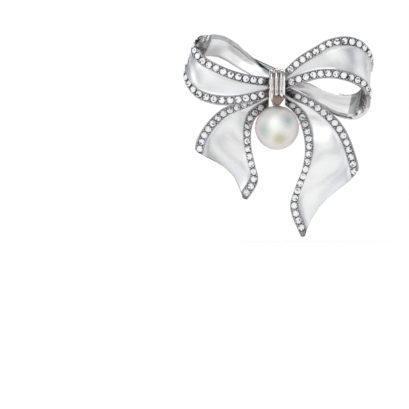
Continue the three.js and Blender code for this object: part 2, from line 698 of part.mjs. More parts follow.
// A slotted barrel with an inner collar at each end, and a window that the lever swings in.
function catchBarrel() {
  const half = BARREL_LENGTH / 2;
  const bead = 0.08;
  const profile = [
    new THREE.Vector2(collarInner, -half),
    new THREE.Vector2(BARREL_RADIUS + bead, -half),
    new THREE.Vector2(BARREL_RADIUS + bead, -half + COLLAR_LENGTH),
    new THREE.Vector2(BARREL_RADIUS, -half + COLLAR_LENGTH),
    new THREE.Vector2(BARREL_RADIUS, half - COLLAR_LENGTH),
    new THREE.Vector2(BARREL_RADIUS + bead, half - COLLAR_LENGTH),
    new THREE.Vector2(BARREL_RADIUS + bead, half),
    new THREE.Vector2(collarInner, half),
    new THREE.Vector2(collarInner, half - COLLAR_LENGTH),
    new THREE.Vector2(BARREL_RADIUS - BARREL_WALL, half - COLLAR_LENGTH),
    new THREE.Vector2(BARREL_RADIUS - BARREL_WALL, -half + COLLAR_LENGTH),
    new THREE.Vector2(collarInner, -half + COLLAR_LENGTH),
    new THREE.Vector2(collarInner, -half),
  ];
  const shell = new THREE.LatheGeometry(profile, 24).rotateZ(-Math.PI / 2);
  const footTall = -seatBack - (BARREL_RADIUS - BARREL_WALL);
  const foot = new THREE.BoxGeometry(BARREL_LENGTH * 0.8, footTall, 1.3);
  foot.translate(0, seatBack + footTall / 2, 0);
  const keepClear = cylinderAlong("x", BARREL_RADIUS - BARREL_WALL, BARREL_LENGTH - 2 * COLLAR_LENGTH, 24);
  const windowLow = LEVER_REST + leverHalfAngle + 6;
  const lookOut = wedge(LEVER_WIDTH * 2, 0, windowLow, BARREL_RADIUS + 1);
  return toGeometry(
    toSolid(shell)
      .add(toSolid(foot))
      .subtract(toSolid(keepClear))
      .subtract(toSolid(slotBox(BARREL_RADIUS + 1)))
      .subtract(toSolid(lookOut)),
  );
}
addPiece(catchGroup, "catch_barrel", catchBarrel(), BRIGHT_METAL);

// The slotted rotor turns in the barrel, and its lever comes out through the window.
function catchRotor() {
  const profile = [
    new THREE.Vector2(rotorInner, -rotorHalf),
    new THREE.Vector2(rotorOuter, -rotorHalf),
    new THREE.Vector2(rotorOuter, rotorHalf),
    new THREE.Vector2(rotorInner, rotorHalf),
    new THREE.Vector2(rotorInner, -rotorHalf),
  ];
  const shell = new THREE.LatheGeometry(profile, 24).rotateZ(-Math.PI / 2);
  const leverLow = (rotorInner + rotorOuter) / 2;
  const lever = new THREE.BoxGeometry(LEVER_WIDTH * 1.4, LEVER_REACH - leverLow, LEVER_WIDTH);
  lever.translate(0, (LEVER_REACH + leverLow) / 2, 0);
  lever.rotateX(THREE.MathUtils.degToRad(LEVER_REST));
  return toGeometry(
    toSolid(shell)
      .subtract(toSolid(slotBox(rotorOuter + 1)))
      .add(toSolid(lever)),
  );
}
addPiece(catchGroup, "catch_rotor", catchRotor(), STEEL);

export default brooch;
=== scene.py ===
"""A ribbon-bow brooch: satin ribbons edged with round stones, a pearl, and its pin and safety catch."""

import json
import logging
import math
from dataclasses import dataclass
from enum import Enum
from functools import cached_property

import bmesh
import bpy
from mathutils import Matrix, Vector


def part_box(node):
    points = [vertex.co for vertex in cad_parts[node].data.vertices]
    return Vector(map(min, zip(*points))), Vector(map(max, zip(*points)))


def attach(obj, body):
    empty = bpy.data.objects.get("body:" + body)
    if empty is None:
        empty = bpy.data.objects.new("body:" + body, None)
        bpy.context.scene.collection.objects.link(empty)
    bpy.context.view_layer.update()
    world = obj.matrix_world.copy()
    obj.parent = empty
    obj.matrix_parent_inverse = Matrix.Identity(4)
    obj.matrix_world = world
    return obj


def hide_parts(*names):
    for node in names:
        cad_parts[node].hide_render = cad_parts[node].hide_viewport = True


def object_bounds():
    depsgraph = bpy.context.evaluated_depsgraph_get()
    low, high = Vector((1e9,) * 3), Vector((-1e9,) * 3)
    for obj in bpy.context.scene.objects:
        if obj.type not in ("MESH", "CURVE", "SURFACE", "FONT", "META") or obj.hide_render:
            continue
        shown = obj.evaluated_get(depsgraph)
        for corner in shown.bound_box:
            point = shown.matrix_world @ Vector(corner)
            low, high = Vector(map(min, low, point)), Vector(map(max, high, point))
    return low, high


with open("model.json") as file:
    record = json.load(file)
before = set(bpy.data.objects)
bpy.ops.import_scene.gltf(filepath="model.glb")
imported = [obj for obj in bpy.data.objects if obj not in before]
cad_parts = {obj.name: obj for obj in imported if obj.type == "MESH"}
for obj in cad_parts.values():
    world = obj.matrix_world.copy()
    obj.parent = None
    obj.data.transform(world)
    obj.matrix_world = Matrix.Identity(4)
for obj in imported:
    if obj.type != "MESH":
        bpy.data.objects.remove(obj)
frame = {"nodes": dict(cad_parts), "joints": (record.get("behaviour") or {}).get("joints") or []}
cad_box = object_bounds()

MM = 0.001
WHITE = (1.0, 1.0, 1.0, 1.0)
Colour = tuple[float, float, float, float]
RIBBON_CREASE = 46.0  # degrees; a ribbon's edges that turn more stay sharp
log = logging.getLogger("brooch")


# ---------------------------------------------------------------- node trees and shared shader groups


def grey(value: float) -> Colour:
    """An even grey, with its alpha."""
    return (value, value, value, 1.0)


class Wiring:
    """A node tree, with short calls for the nodes that finishes and the sky share."""

    def __init__(self, tree: bpy.types.NodeTree) -> None:
        """Keeps the tree."""
        self.tree = tree

    def feed(self, value: object, socket: bpy.types.NodeSocket) -> None:
        """Links a socket or sets a constant."""
        if isinstance(value, bpy.types.NodeSocket):
            self.tree.links.new(value, socket)
        else:
            socket.default_value = value

    def node(self, kind: str, **values: object) -> bpy.types.Node:
        """Adds a node and fills its inputs.

        Args:
            kind: the node's type.
            values: each input's value or the socket that feeds it, with spaces as underscores.

        Returns:
            The new node.
        """
        made = self.tree.nodes.new(kind)
        for name, value in values.items():
            self.feed(value, made.inputs[name.replace("_", " ")])
        return made

    def math(self, kind: str, operation: str, *values: object) -> bpy.types.Node:
        """Adds a Math or Vector Math node.

        Args:
            kind: the node's type.
            operation: what it works out.
            values: its inputs in order.

        Returns:
            The new node.
        """
        made = self.tree.nodes.new(kind)
        made.operation = operation
        for value, socket in zip(values, made.inputs):
            self.feed(value, socket)
        return made

    def number(self, operation: str, *values: object) -> bpy.types.NodeSocket:
        """The number that a Math node gives."""
        return self.math("ShaderNodeMath", operation, *values).outputs["Value"]

    def length(self, operation: str, *values: object) -> bpy.types.NodeSocket:
        """The length or distance that a Vector Math node gives."""
        return self.math("ShaderNodeVectorMath", operation, *values).outputs["Value"]

    def noise(self, place: bpy.types.NodeSocket, **values: object) -> bpy.types.NodeSocket:
        """Noise at a place, as a number."""
        return self.node("ShaderNodeTexNoise", Vector=place, **values).outputs["Fac"]

    def window(
        self,
        value: bpy.types.NodeSocket,
        low: object,
        high: object,
        to: tuple[float, float] = (0.0, 1.0),
        smooth: bool = True,
    ) -> bpy.types.NodeSocket:
        """Maps one range to another, held at both ends.

        Args:
            value: what is mapped.
            low: where the range starts.
            high: where it ends.
            to: the results at its start and end.
            smooth: whether it eases in and out.

        Returns:
            The mapped value.
        """
        made = self.node("ShaderNodeMapRange", Value=value, From_Min=low, From_Max=high)
        made.interpolation_type = "SMOOTHSTEP" if smooth else "LINEAR"
        self.feed(to[0], made.inputs["To Min"])
        self.feed(to[1], made.inputs["To Max"])
        return made.outputs["Result"]

    def mix(self, mask: bpy.types.NodeSocket, low: object, high: object) -> bpy.types.NodeSocket:
        """Mixes two colours by a mask and returns the colour socket."""
        made = self.tree.nodes.new("ShaderNodeMix")
        made.data_type = "RGBA"
        self.feed(mask, made.inputs["Factor"])
        self.feed(low, made.inputs[6])
        self.feed(high, made.inputs[7])
        return made.outputs[2]

    def ramp(
        self, value: bpy.types.NodeSocket, low: tuple[float, Colour], high: tuple[float, Colour]
    ) -> bpy.types.NodeSocket:
        """A colour ramp between two stops, each a position and a colour."""
        made = self.node("ShaderNodeValToRGB", Fac=value)
        for stop, (position, colour) in zip(made.color_ramp.elements, (low, high)):
            stop.position = position
            stop.color = colour
        return made.outputs["Color"]


class Group(Enum):
    """The shader groups that several finishes share."""

    GRAIN = "fine_grain"
    HANDLING = "handling_marks"


def new_group(
    kind: Group, inputs: dict[str, float], outputs: list[str]
) -> tuple[Wiring, bpy.types.NodeInputs, bpy.types.NodeInputs]:
    """Makes an empty shader group with a coordinate input.

    Args:
        kind: which group it is.
        inputs: each float input and its default.
        outputs: each float output.

    Returns:
        The group's wiring, the sockets that come in and the sockets that go out.
    """
    tree = bpy.data.node_groups.new(kind.value, "ShaderNodeTree")
    tree.interface.new_socket("Vector", in_out="INPUT", socket_type="NodeSocketVector")
    for name, value in inputs.items():
        socket = tree.interface.new_socket(name, in_out="INPUT", socket_type="NodeSocketFloat")
        socket.default_value = value
    for name in outputs:
        tree.interface.new_socket(name, in_out="OUTPUT", socket_type="NodeSocketFloat")
    start = tree.nodes.new("NodeGroupInput")
    end = tree.nodes.new("NodeGroupOutput")
    return Wiring(tree), start.outputs, end.inputs


def build_grain_group() -> None:
    """Fine satin grain: a stretched noise that gives a height and a roughness offset."""
    inputs = {"Scale": 4000.0, "Stretch": 6.0, "Spread": 0.1}
    wiring, start, end = new_group(Group.GRAIN, inputs, ["Height", "Offset"])
    stretch = wiring.node("ShaderNodeCombineXYZ", X=1.0, Y=1.0, Z=start["Stretch"]).outputs["Vector"]
    scaled = wiring.math("ShaderNodeVectorMath", "MULTIPLY", start["Vector"], stretch).outputs["Vector"]
    noise = wiring.noise(scaled, Scale=start["Scale"], Detail=3.0)
    wiring.feed(noise, end["Height"])
    wiring.feed(wiring.number("MULTIPLY", noise, start["Spread"]), end["Offset"])


def build_handling_group() -> None:
    """Soft clouds of handling and polishing marks, as a mask."""
    inputs = {"Scale": 260.0, "Low": 0.45, "High": 0.75}
    wiring, start, end = new_group(Group.HANDLING, inputs, ["Mask"])
    noise = wiring.noise(start["Vector"], Scale=start["Scale"], Detail=5.0, Roughness=0.6)
    wiring.feed(wiring.window(noise, start["Low"], start["High"]), end["Mask"])


# ---------------------------------------------------------------- finishes


class Sheet(Wiring):
    """A material's node tree: its shader and the coordinates of its piece."""

    def __init__(self, name: str) -> None:
        """Starts a material with a Principled shader and Object coordinates."""
        self.material = bpy.data.materials.new(name)
        self.material.use_nodes = True
        super().__init__(self.material.node_tree)
        self.shader = self.tree.nodes["Principled BSDF"]
        self.place = self.node("ShaderNodeTexCoord").outputs["Object"]

    def set(self, **values: object) -> None:
        """Feeds the shader's own sockets, with spaces written as underscores."""
        for name, value in values.items():
            self.feed(value, self.shader.inputs[name.replace("_", " ")])

    def group(self, kind: Group, **values: float) -> bpy.types.NodeOutputs:
        """Places a shared group, fed with Object coordinates, and returns its outputs."""
        made = self.tree.nodes.new("ShaderNodeGroup")
        made.node_tree = bpy.data.node_groups[kind.value]
        self.feed(self.place, made.inputs["Vector"])
        for name, value in values.items():
            self.feed(value, made.inputs[name])
        return made.outputs

    def bump(self, height: bpy.types.NodeSocket, depth: float) -> None:
        """Feeds the shader's normal from a height, with its depth in metres."""
        made = self.node("ShaderNodeBump", Strength=1.0, Distance=depth, Height=height)
        self.set(Normal=made.outputs["Normal"])


@dataclass(frozen=True)
class PolishedMetal:
    """Rhodium-plated metal, buffed to a mirror, with faint polishing clouds."""

    name: str
    colour: Colour = (0.83, 0.84, 0.86, 1.0)
    cloud: Colour = (0.76, 0.76, 0.78, 1.0)
    roughness: float = 0.06
    cloud_roughness: float = 0.14
    ripple: float = 0.008 * MM

    def build(self) -> bpy.types.Material:
        """Returns the material."""
        sheet = Sheet(self.name)
        marks = sheet.group(Group.HANDLING, Scale=420.0, Low=0.4, High=0.8)["Mask"]
        sheet.set(
            Metallic=1.0,
            Base_Color=sheet.mix(marks, self.colour, self.cloud),
            Roughness=sheet.window(marks, 0.0, 1.0, (self.roughness, self.cloud_roughness), smooth=False),
        )
        sheet.bump(sheet.noise(sheet.place, Scale=700.0, Detail=1.0), self.ripple)
        return sheet.material


@dataclass(frozen=True)
class SatinMetal:
    """The ribbons' satin face: matt silver white with a fine drawn grain."""

    name: str
    colour: Colour = (0.96, 0.96, 0.955, 1.0)
    shade: Colour = (0.84, 0.845, 0.86, 1.0)
    roughness: float = 0.33
    grain_spread: float = 0.16
    grain_depth: float = 0.006 * MM

    def build(self) -> bpy.types.Material:
        """Returns the material."""
        sheet = Sheet(self.name)
        clouds = sheet.group(Group.HANDLING, Scale=180.0, Low=0.35, High=0.8)["Mask"]
        grain = sheet.group(Group.GRAIN, Scale=5200.0, Stretch=0.22, Spread=self.grain_spread)
        least = self.roughness - self.grain_spread / 2
        sheet.set(
            Metallic=1.0,
            Base_Color=sheet.mix(clouds, self.colour, self.shade),
            Roughness=sheet.number("ADD", least, grain["Offset"]),
        )
        sheet.bump(grain["Height"], self.grain_depth)
        return sheet.material


@dataclass(frozen=True)
class SettingFloor:
    """The floor between the stones: metal coloured near black as painted shade down between the stones, with
    greyer patches.
    """

    name: str = "setting_floor"
    colour: Colour = (0.09, 0.085, 0.09, 1.0)
    edge: Colour = (0.4, 0.39, 0.4, 1.0)
    roughness: float = 0.25
    depth: float = 0.02 * MM

    def build(self) -> bpy.types.Material:
        """Returns the material."""
        sheet = Sheet(self.name)
        marks = sheet.group(Group.HANDLING, Scale=1800.0, Low=0.4, High=0.65)["Mask"]
        tone = sheet.mix(marks, self.colour, self.edge)
        sheet.set(Metallic=1.0, Roughness=self.roughness, Base_Color=tone)
        sheet.bump(marks, self.depth)
        return sheet.material


@dataclass(frozen=True)
class CutStone:
    """A clear round-cut stone with strong reflections; dark cells painted on its white colour are painted
    reflections of dark facets.
    """

    name: str = "cut_stone"
    colour: Colour = (0.97, 0.98, 1.0, 1.0)
    dark_reflection: Colour = (0.07, 0.065, 0.07, 1.0)
    dark_share: float = 0.13
    softness: float = 0.05
    index: float = 2.2
    transmission: float = 0.12

    def build(self) -> bpy.types.Material:
        """Returns the material."""
        sheet = Sheet(self.name)
        sparkle = sheet.node("ShaderNodeTexVoronoi", Vector=sheet.place, Scale=2900.0)
        spark = sheet.node("ShaderNodeSeparateColor", Color=sparkle.outputs["Color"]).outputs["Red"]
        low, high = self.dark_share - self.softness, self.dark_share + self.softness
        tone = sheet.mix(sheet.window(spark, low, high, smooth=False), self.dark_reflection, self.colour)
        sheet.set(
            Base_Color=tone,
            Metallic=0.0,
            Roughness=0.02,
            IOR=self.index,
            Transmission_Weight=self.transmission,
        )
        return sheet.material


@dataclass(frozen=True)
class PaintedReflection:
    """A painted reflection on the pearl, a soft patch of colour: its middle in millimetres from the pearl's,
    reach and colour.
    """

    middle: tuple[float, float, float]
    reach: float
    colour: Colour
    strength: float


@dataclass(frozen=True)
class Nacre:
    """Pearl nacre: white body, a pink rim and soft grey and green painted reflections round a painted
    highlight on the front.
    """

    name: str = "pearl_nacre"
    body: Colour = (0.78, 0.775, 0.755, 1.0)
    rim: Colour = (0.58, 0.51, 0.5, 1.0)
    painted_reflections: tuple[PaintedReflection, ...] = (
        PaintedReflection((-2.9, -3.6, -0.6), 2.9, (0.42, 0.48, 0.45, 1.0), 0.85),
        PaintedReflection((2.3, -3.8, 1.5), 2.4, (0.36, 0.42, 0.45, 1.0), 0.9),
        PaintedReflection((0.6, -4.0, -2.4), 2.5, (0.5, 0.49, 0.3, 1.0), 0.85),
        PaintedReflection((-1.6, -3.2, 3.0), 2.4, (0.62, 0.67, 0.63, 1.0), 0.7),
        # painted highlight: a white patch on the pearl's front
        PaintedReflection((-0.5, -4.5, 0.6), 2.3, (1.0, 1.0, 1.0, 1.0), 0.95),
        PaintedReflection((3.4, 2.4, 1.2), 2.6, (0.62, 0.66, 0.62, 1.0), 0.5),
    )
    painted_reflections_radius: float = 4.75
    raggedness: float = 1.6

    def build(self) -> bpy.types.Material:
        """Returns the material."""
        sheet = Sheet(self.name)
        facing = sheet.node("ShaderNodeLayerWeight", Blend=0.42).outputs["Facing"]
        tone = sheet.mix(facing, self.body, self.rim)
        low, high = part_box("pearl")
        radius = (high.x - low.x) / 2
        middle = Vector(((low.x + high.x) / 2, low.y + radius, (low.z + high.z) / 2))
        cloud = sheet.noise(sheet.place, Scale=420.0, Detail=2.0)
        inset = self.raggedness / 2
        for painted_reflection in self.painted_reflections:
            spot = middle + Vector(painted_reflection.middle) * (radius / self.painted_reflections_radius)
            away = sheet.length("DISTANCE", sheet.place, spot)
            ragged = sheet.number("MULTIPLY_ADD", cloud, self.raggedness * MM, away)
            mask = sheet.window(ragged, inset * MM, (painted_reflection.reach + inset) * MM, (painted_reflection.strength, 0.0))
            tone = sheet.mix(mask, tone, painted_reflection.colour)
        sheet.set(
            Base_Color=tone,
            Roughness=0.22,
            IOR=1.53,
            Coat_Weight=0.5,
            Coat_Roughness=0.06,
            Subsurface_Weight=0.12,
            Subsurface_Scale=0.6 * MM,
        )
        sheet.bump(sheet.noise(sheet.place, Scale=900.0, Detail=2.0), 0.004 * MM)
        return sheet.material


@dataclass(frozen=True)
class PlainGround:
    """The pale matt ground, with the darker shapes that only polished metal picks up from it."""

    name: str = "pale_ground"
    colour: Colour = grey(0.97)
    tooth: Colour = grey(0.96)
    near_glow: Colour = grey(0.12)
    far_glow: Colour = grey(0.5)
    mirrored_glow: Colour = grey(0.06)
    mirrored_shape: Colour = (0.04, 0.04, 0.045, 1.0)

    def build(self) -> bpy.types.Material:
        """Returns the material."""
        sheet = Sheet(self.name)
        tone = sheet.mix(sheet.noise(sheet.place, Scale=300.0, Detail=2.0), self.colour, self.tooth)
        away = sheet.length("LENGTH", sheet.place)
        light = sheet.mix(sheet.window(away, 30 * MM, 300 * MM, smooth=False), self.near_glow, self.far_glow)
        shapes = sheet.noise(sheet.place, Scale=9.0, Detail=1.0)
        mirrored = sheet.mix(sheet.window(shapes, 0.35, 0.47, smooth=False), self.mirrored_shape, WHITE)
        glossy = sheet.node("ShaderNodeLightPath").outputs["Is Glossy Ray"]
        sheet.set(
            Base_Color=sheet.mix(glossy, tone, mirrored),
            Emission_Color=sheet.mix(glossy, light, self.mirrored_glow),
            Emission_Strength=1.0,
            Roughness=0.9,
            Specular_IOR_Level=0.0,
        )
        return sheet.material


class Finishes:
    """Every material of the brooch, built once."""

    def __init__(self) -> None:
        """Builds the shared groups and then the materials."""
        build_grain_group()
        build_handling_group()
        self.satin = SatinMetal("satin_ribbon").build()
        self.turn = SatinMetal(
            "shaded_turn", colour=(0.5, 0.5, 0.5, 1.0), shade=(0.26, 0.26, 0.27, 1.0), roughness=0.24
        ).build()
        # painted shade: the rails' plated metal is coloured far darker than the beads, so the borders and
        # walls read shaded
        self.rail = PolishedMetal(
            "polished_rail", colour=(0.5, 0.49, 0.495, 1.0), cloud=(0.3, 0.29, 0.3, 1.0), roughness=0.12
        ).build()
        self.bead = PolishedMetal("raised_bead", colour=(0.8, 0.79, 0.8, 1.0), roughness=0.12).build()
        # painted shade and painted reflection: dark brown colour with near-black clouds stands in for the
        # drop's brown reflections and the shade in the knot core's gaps
        self.shade_and_reflection = PolishedMetal(
            "painted_shade_and_reflection",
            colour=(0.3, 0.23, 0.2, 1.0),
            cloud=(0.06, 0.045, 0.04, 1.0),
            roughness=0.05,
            ripple=0.25 * MM,
        ).build()
        self.mirror = PolishedMetal(
            "mirror_back", colour=(0.78, 0.77, 0.77, 1.0), cloud=(0.68, 0.67, 0.67, 1.0), roughness=0.03
        ).build()
        self.band = PolishedMetal(
            "knot_band", colour=(0.86, 0.84, 0.82, 1.0), cloud=(0.6, 0.56, 0.53, 1.0), roughness=0.04
        ).build()
        self.fitting = PolishedMetal(
            "bright_fitting", colour=(0.66, 0.65, 0.65, 1.0), cloud=(0.42, 0.41, 0.41, 1.0), roughness=0.07
        ).build()
        self.setting = SettingFloor().build()
        self.stone = CutStone().build()
        self.nacre = Nacre().build()
        self.steel = PolishedMetal(
            "pin_steel", colour=(0.74, 0.75, 0.77, 1.0), roughness=0.1, cloud_roughness=0.18
        ).build()
        self.ground = PlainGround().build()


# ---------------------------------------------------------------- mesh helpers


def finish_object(
    name: str, bm: bmesh.types.BMesh, materials: list[bpy.types.Material], sharp: float | None = 40.0
) -> bpy.types.Object:
    """Turns a bmesh into an object at the origin.

    Args:
        name: the piece's name.
        bm: the modelled mesh, in metres; it is freed.
        materials: the material slots in order.
        sharp: edges that turn more than this many degrees stay sharp; None keeps every face flat.

    Returns:
        The new object.
    """
    mesh = bpy.data.meshes.new(name)
    for face in bm.faces:
        face.smooth = sharp is not None
    if sharp is not None:
        for edge in bm.edges:
            edge.smooth = edge.calc_face_angle(0.0) < math.radians(sharp)
    bm.to_mesh(mesh)
    bm.free()
    for material in materials:
        mesh.materials.append(material)
    made = bpy.data.objects.new(name, mesh)
    bpy.context.scene.collection.objects.link(made)
    return made


def add_mesh(bm: bmesh.types.BMesh, part: bpy.types.Mesh, place: Matrix) -> None:
    """Adds a copy of a small mesh to a bmesh at a place."""
    first = len(bm.verts)
    bm.from_mesh(part)
    bm.verts.ensure_lookup_table()
    bmesh.ops.transform(bm, matrix=place, verts=bm.verts[first:])


def part_mesh(bm: bmesh.types.BMesh, name: str) -> bpy.types.Mesh:
    """Stores a bmesh as a mesh to be repeated, and frees it."""
    mesh = bpy.data.meshes.new(name)
    bm.to_mesh(mesh)
    bm.free()
    return mesh


def spun(half: list[tuple[float, float]], steps: int) -> bmesh.types.BMesh:
    """Spins a half outline round Z into a closed shape.

    Args:
        half: the outline's radius and height at each point, in millimetres.
        steps: how many strips go round.

    Returns:
        The shape's bmesh, with its doubles merged.
    """
    bm = bmesh.new()
    verts = [bm.verts.new((radius * MM, 0.0, height * MM)) for radius, height in half]
    edges = [bm.edges.new(pair) for pair in zip(verts, verts[1:])]
    bmesh.ops.spin(
        bm,
        geom=verts + edges,
        cent=(0, 0, 0),
        axis=(0, 0, 1),
        angle=2 * math.pi,
        steps=steps,
        use_merge=True,
    )
    bmesh.ops.remove_doubles(bm, verts=bm.verts, dist=0.003 * MM)
    return bm


def basis(origin: Vector, x: Vector, z: Vector) -> Matrix:
    """A placing matrix from an origin, a sideways way and an upward way.

    Args:
        origin: where the part's origin goes.
        x: the part's X, roughly.
        z: the part's Z.

    Returns:
        The 4 by 4 matrix.
    """
    up = z.normalized()
    side = (x - up * x.dot(up)).normalized()
    front = up.cross(side)
    turn = Matrix((side, front, up)).transposed().to_4x4()
    return Matrix.Translation(origin) @ turn


def cut(target: bpy.types.Object, tool: bpy.types.Object) -> None:
    """Cuts one object with another, applies the cut and removes the tool."""
    modifier = target.modifiers.new("cut", "BOOLEAN")
    modifier.operation = "DIFFERENCE"
    modifier.solver = "MANIFOLD"
    modifier.object = tool
    depsgraph = bpy.context.evaluated_depsgraph_get()
    made = bpy.data.meshes.new_from_object(target.evaluated_get(depsgraph))
    target.modifiers.clear()
    bm = bmesh.new()
    bm.from_mesh(made)
    for edge in bm.edges:
        edge.smooth = edge.calc_face_angle(0.0) < math.radians(RIBBON_CREASE)
    bm.to_mesh(made)
    bm.free()
    old = target.data
    target.data = made
    bpy.data.meshes.remove(old)
    bpy.data.objects.remove(tool)


def refined_copy(name: str, node: str, material: bpy.types.Material, edge: float = 0.05) -> bpy.types.Object:
    """Copies a CAD node's solid, rounds its edges and shades it smoothly.

    Args:
        name: the new piece's name.
        node: the CAD node that it stands for.
        material: its finish.
        edge: the rounding's width in millimetres.

    Returns:
        The new object.
    """
    bm = bmesh.new()
    bm.from_mesh(frame["nodes"][node].data)
    bmesh.ops.remove_doubles(bm, verts=bm.verts, dist=0.002 * MM)
    bmesh.ops.dissolve_limit(bm, angle_limit=math.radians(1.0), verts=bm.verts, edges=bm.edges)
    hard = [e for e in bm.edges if e.calc_face_angle(0.0) > math.radians(38.0)]
    bmesh.ops.bevel(
        bm,
        geom=hard,
        offset=edge * MM,
        offset_type="OFFSET",
        affect="EDGES",
        segments=2,
        profile=0.5,
        material=-1,
        clamp_overlap=True,
    )
    made = finish_object(name, bm, [material], sharp=34.0)
    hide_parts(node)
    return made


# ---------------------------------------------------------------- ribbons


class SmoothLine:
    """A centripetal Catmull-Rom curve through points, in millimetres."""

    def __init__(self, points: list[Vector]) -> None:
        """Keeps the points."""
        self.points = points

    def point(self, t: float) -> Vector:
        """The point at t, from 0 at the start to 1 at the end.

        Args:
            t: how far along, counted evenly from station to station.

        Returns:
            The point in millimetres.
        """
        pts = self.points
        last = len(pts) - 1
        place = max(0.0, min(1.0, t)) * last
        index = min(int(place), last - 1)
        weight = place - index
        p1, p2 = pts[index], pts[index + 1]
        p0 = pts[index - 1] if index > 0 else p1 * 2 - p2
        p3 = pts[index + 2] if index + 2 <= last else p2 * 2 - p1
        d0 = (p1 - p0).length ** 0.5
        d1 = (p2 - p1).length ** 0.5
        d2 = (p3 - p2).length ** 0.5
        m1 = ((p1 - p0) / d0 - (p2 - p0) / (d0 + d1) + (p2 - p1) / d1) * d1
        m2 = ((p2 - p1) / d1 - (p3 - p1) / (d1 + d2) + (p3 - p2) / d2) * d1
        c2 = (p2 - p1) * 3 - m1 * 2 - m2
        c3 = (p1 - p2) * 2 + m1 + m2
        return p1 + m1 * weight + c2 * weight**2 + c3 * weight**3


class Skin(Enum):
    """Which finish a strip of a ribbon's surface has, as its material slot."""

    SATIN = 0
    RAIL = 1
    BACK = 2
    FLOOR = 3
    TURN = 4


# The strips of a ribbon's section, counted from edge a over the face and round the back.
FLOOR_STRIPS = (6, 7, 28, 29)
PANEL_STRIPS = range(13, 23)
BACK_STRIPS = range(38, 47)
INNER_PANEL_STRIPS = range(39, 44)
INNER_BORDER_STRIP = 44


@dataclass
class Seat:
    """Where one stone sits: its middle on the panel's face, the row's way and the way up."""

    middle: Vector
    along: Vector
    up: Vector


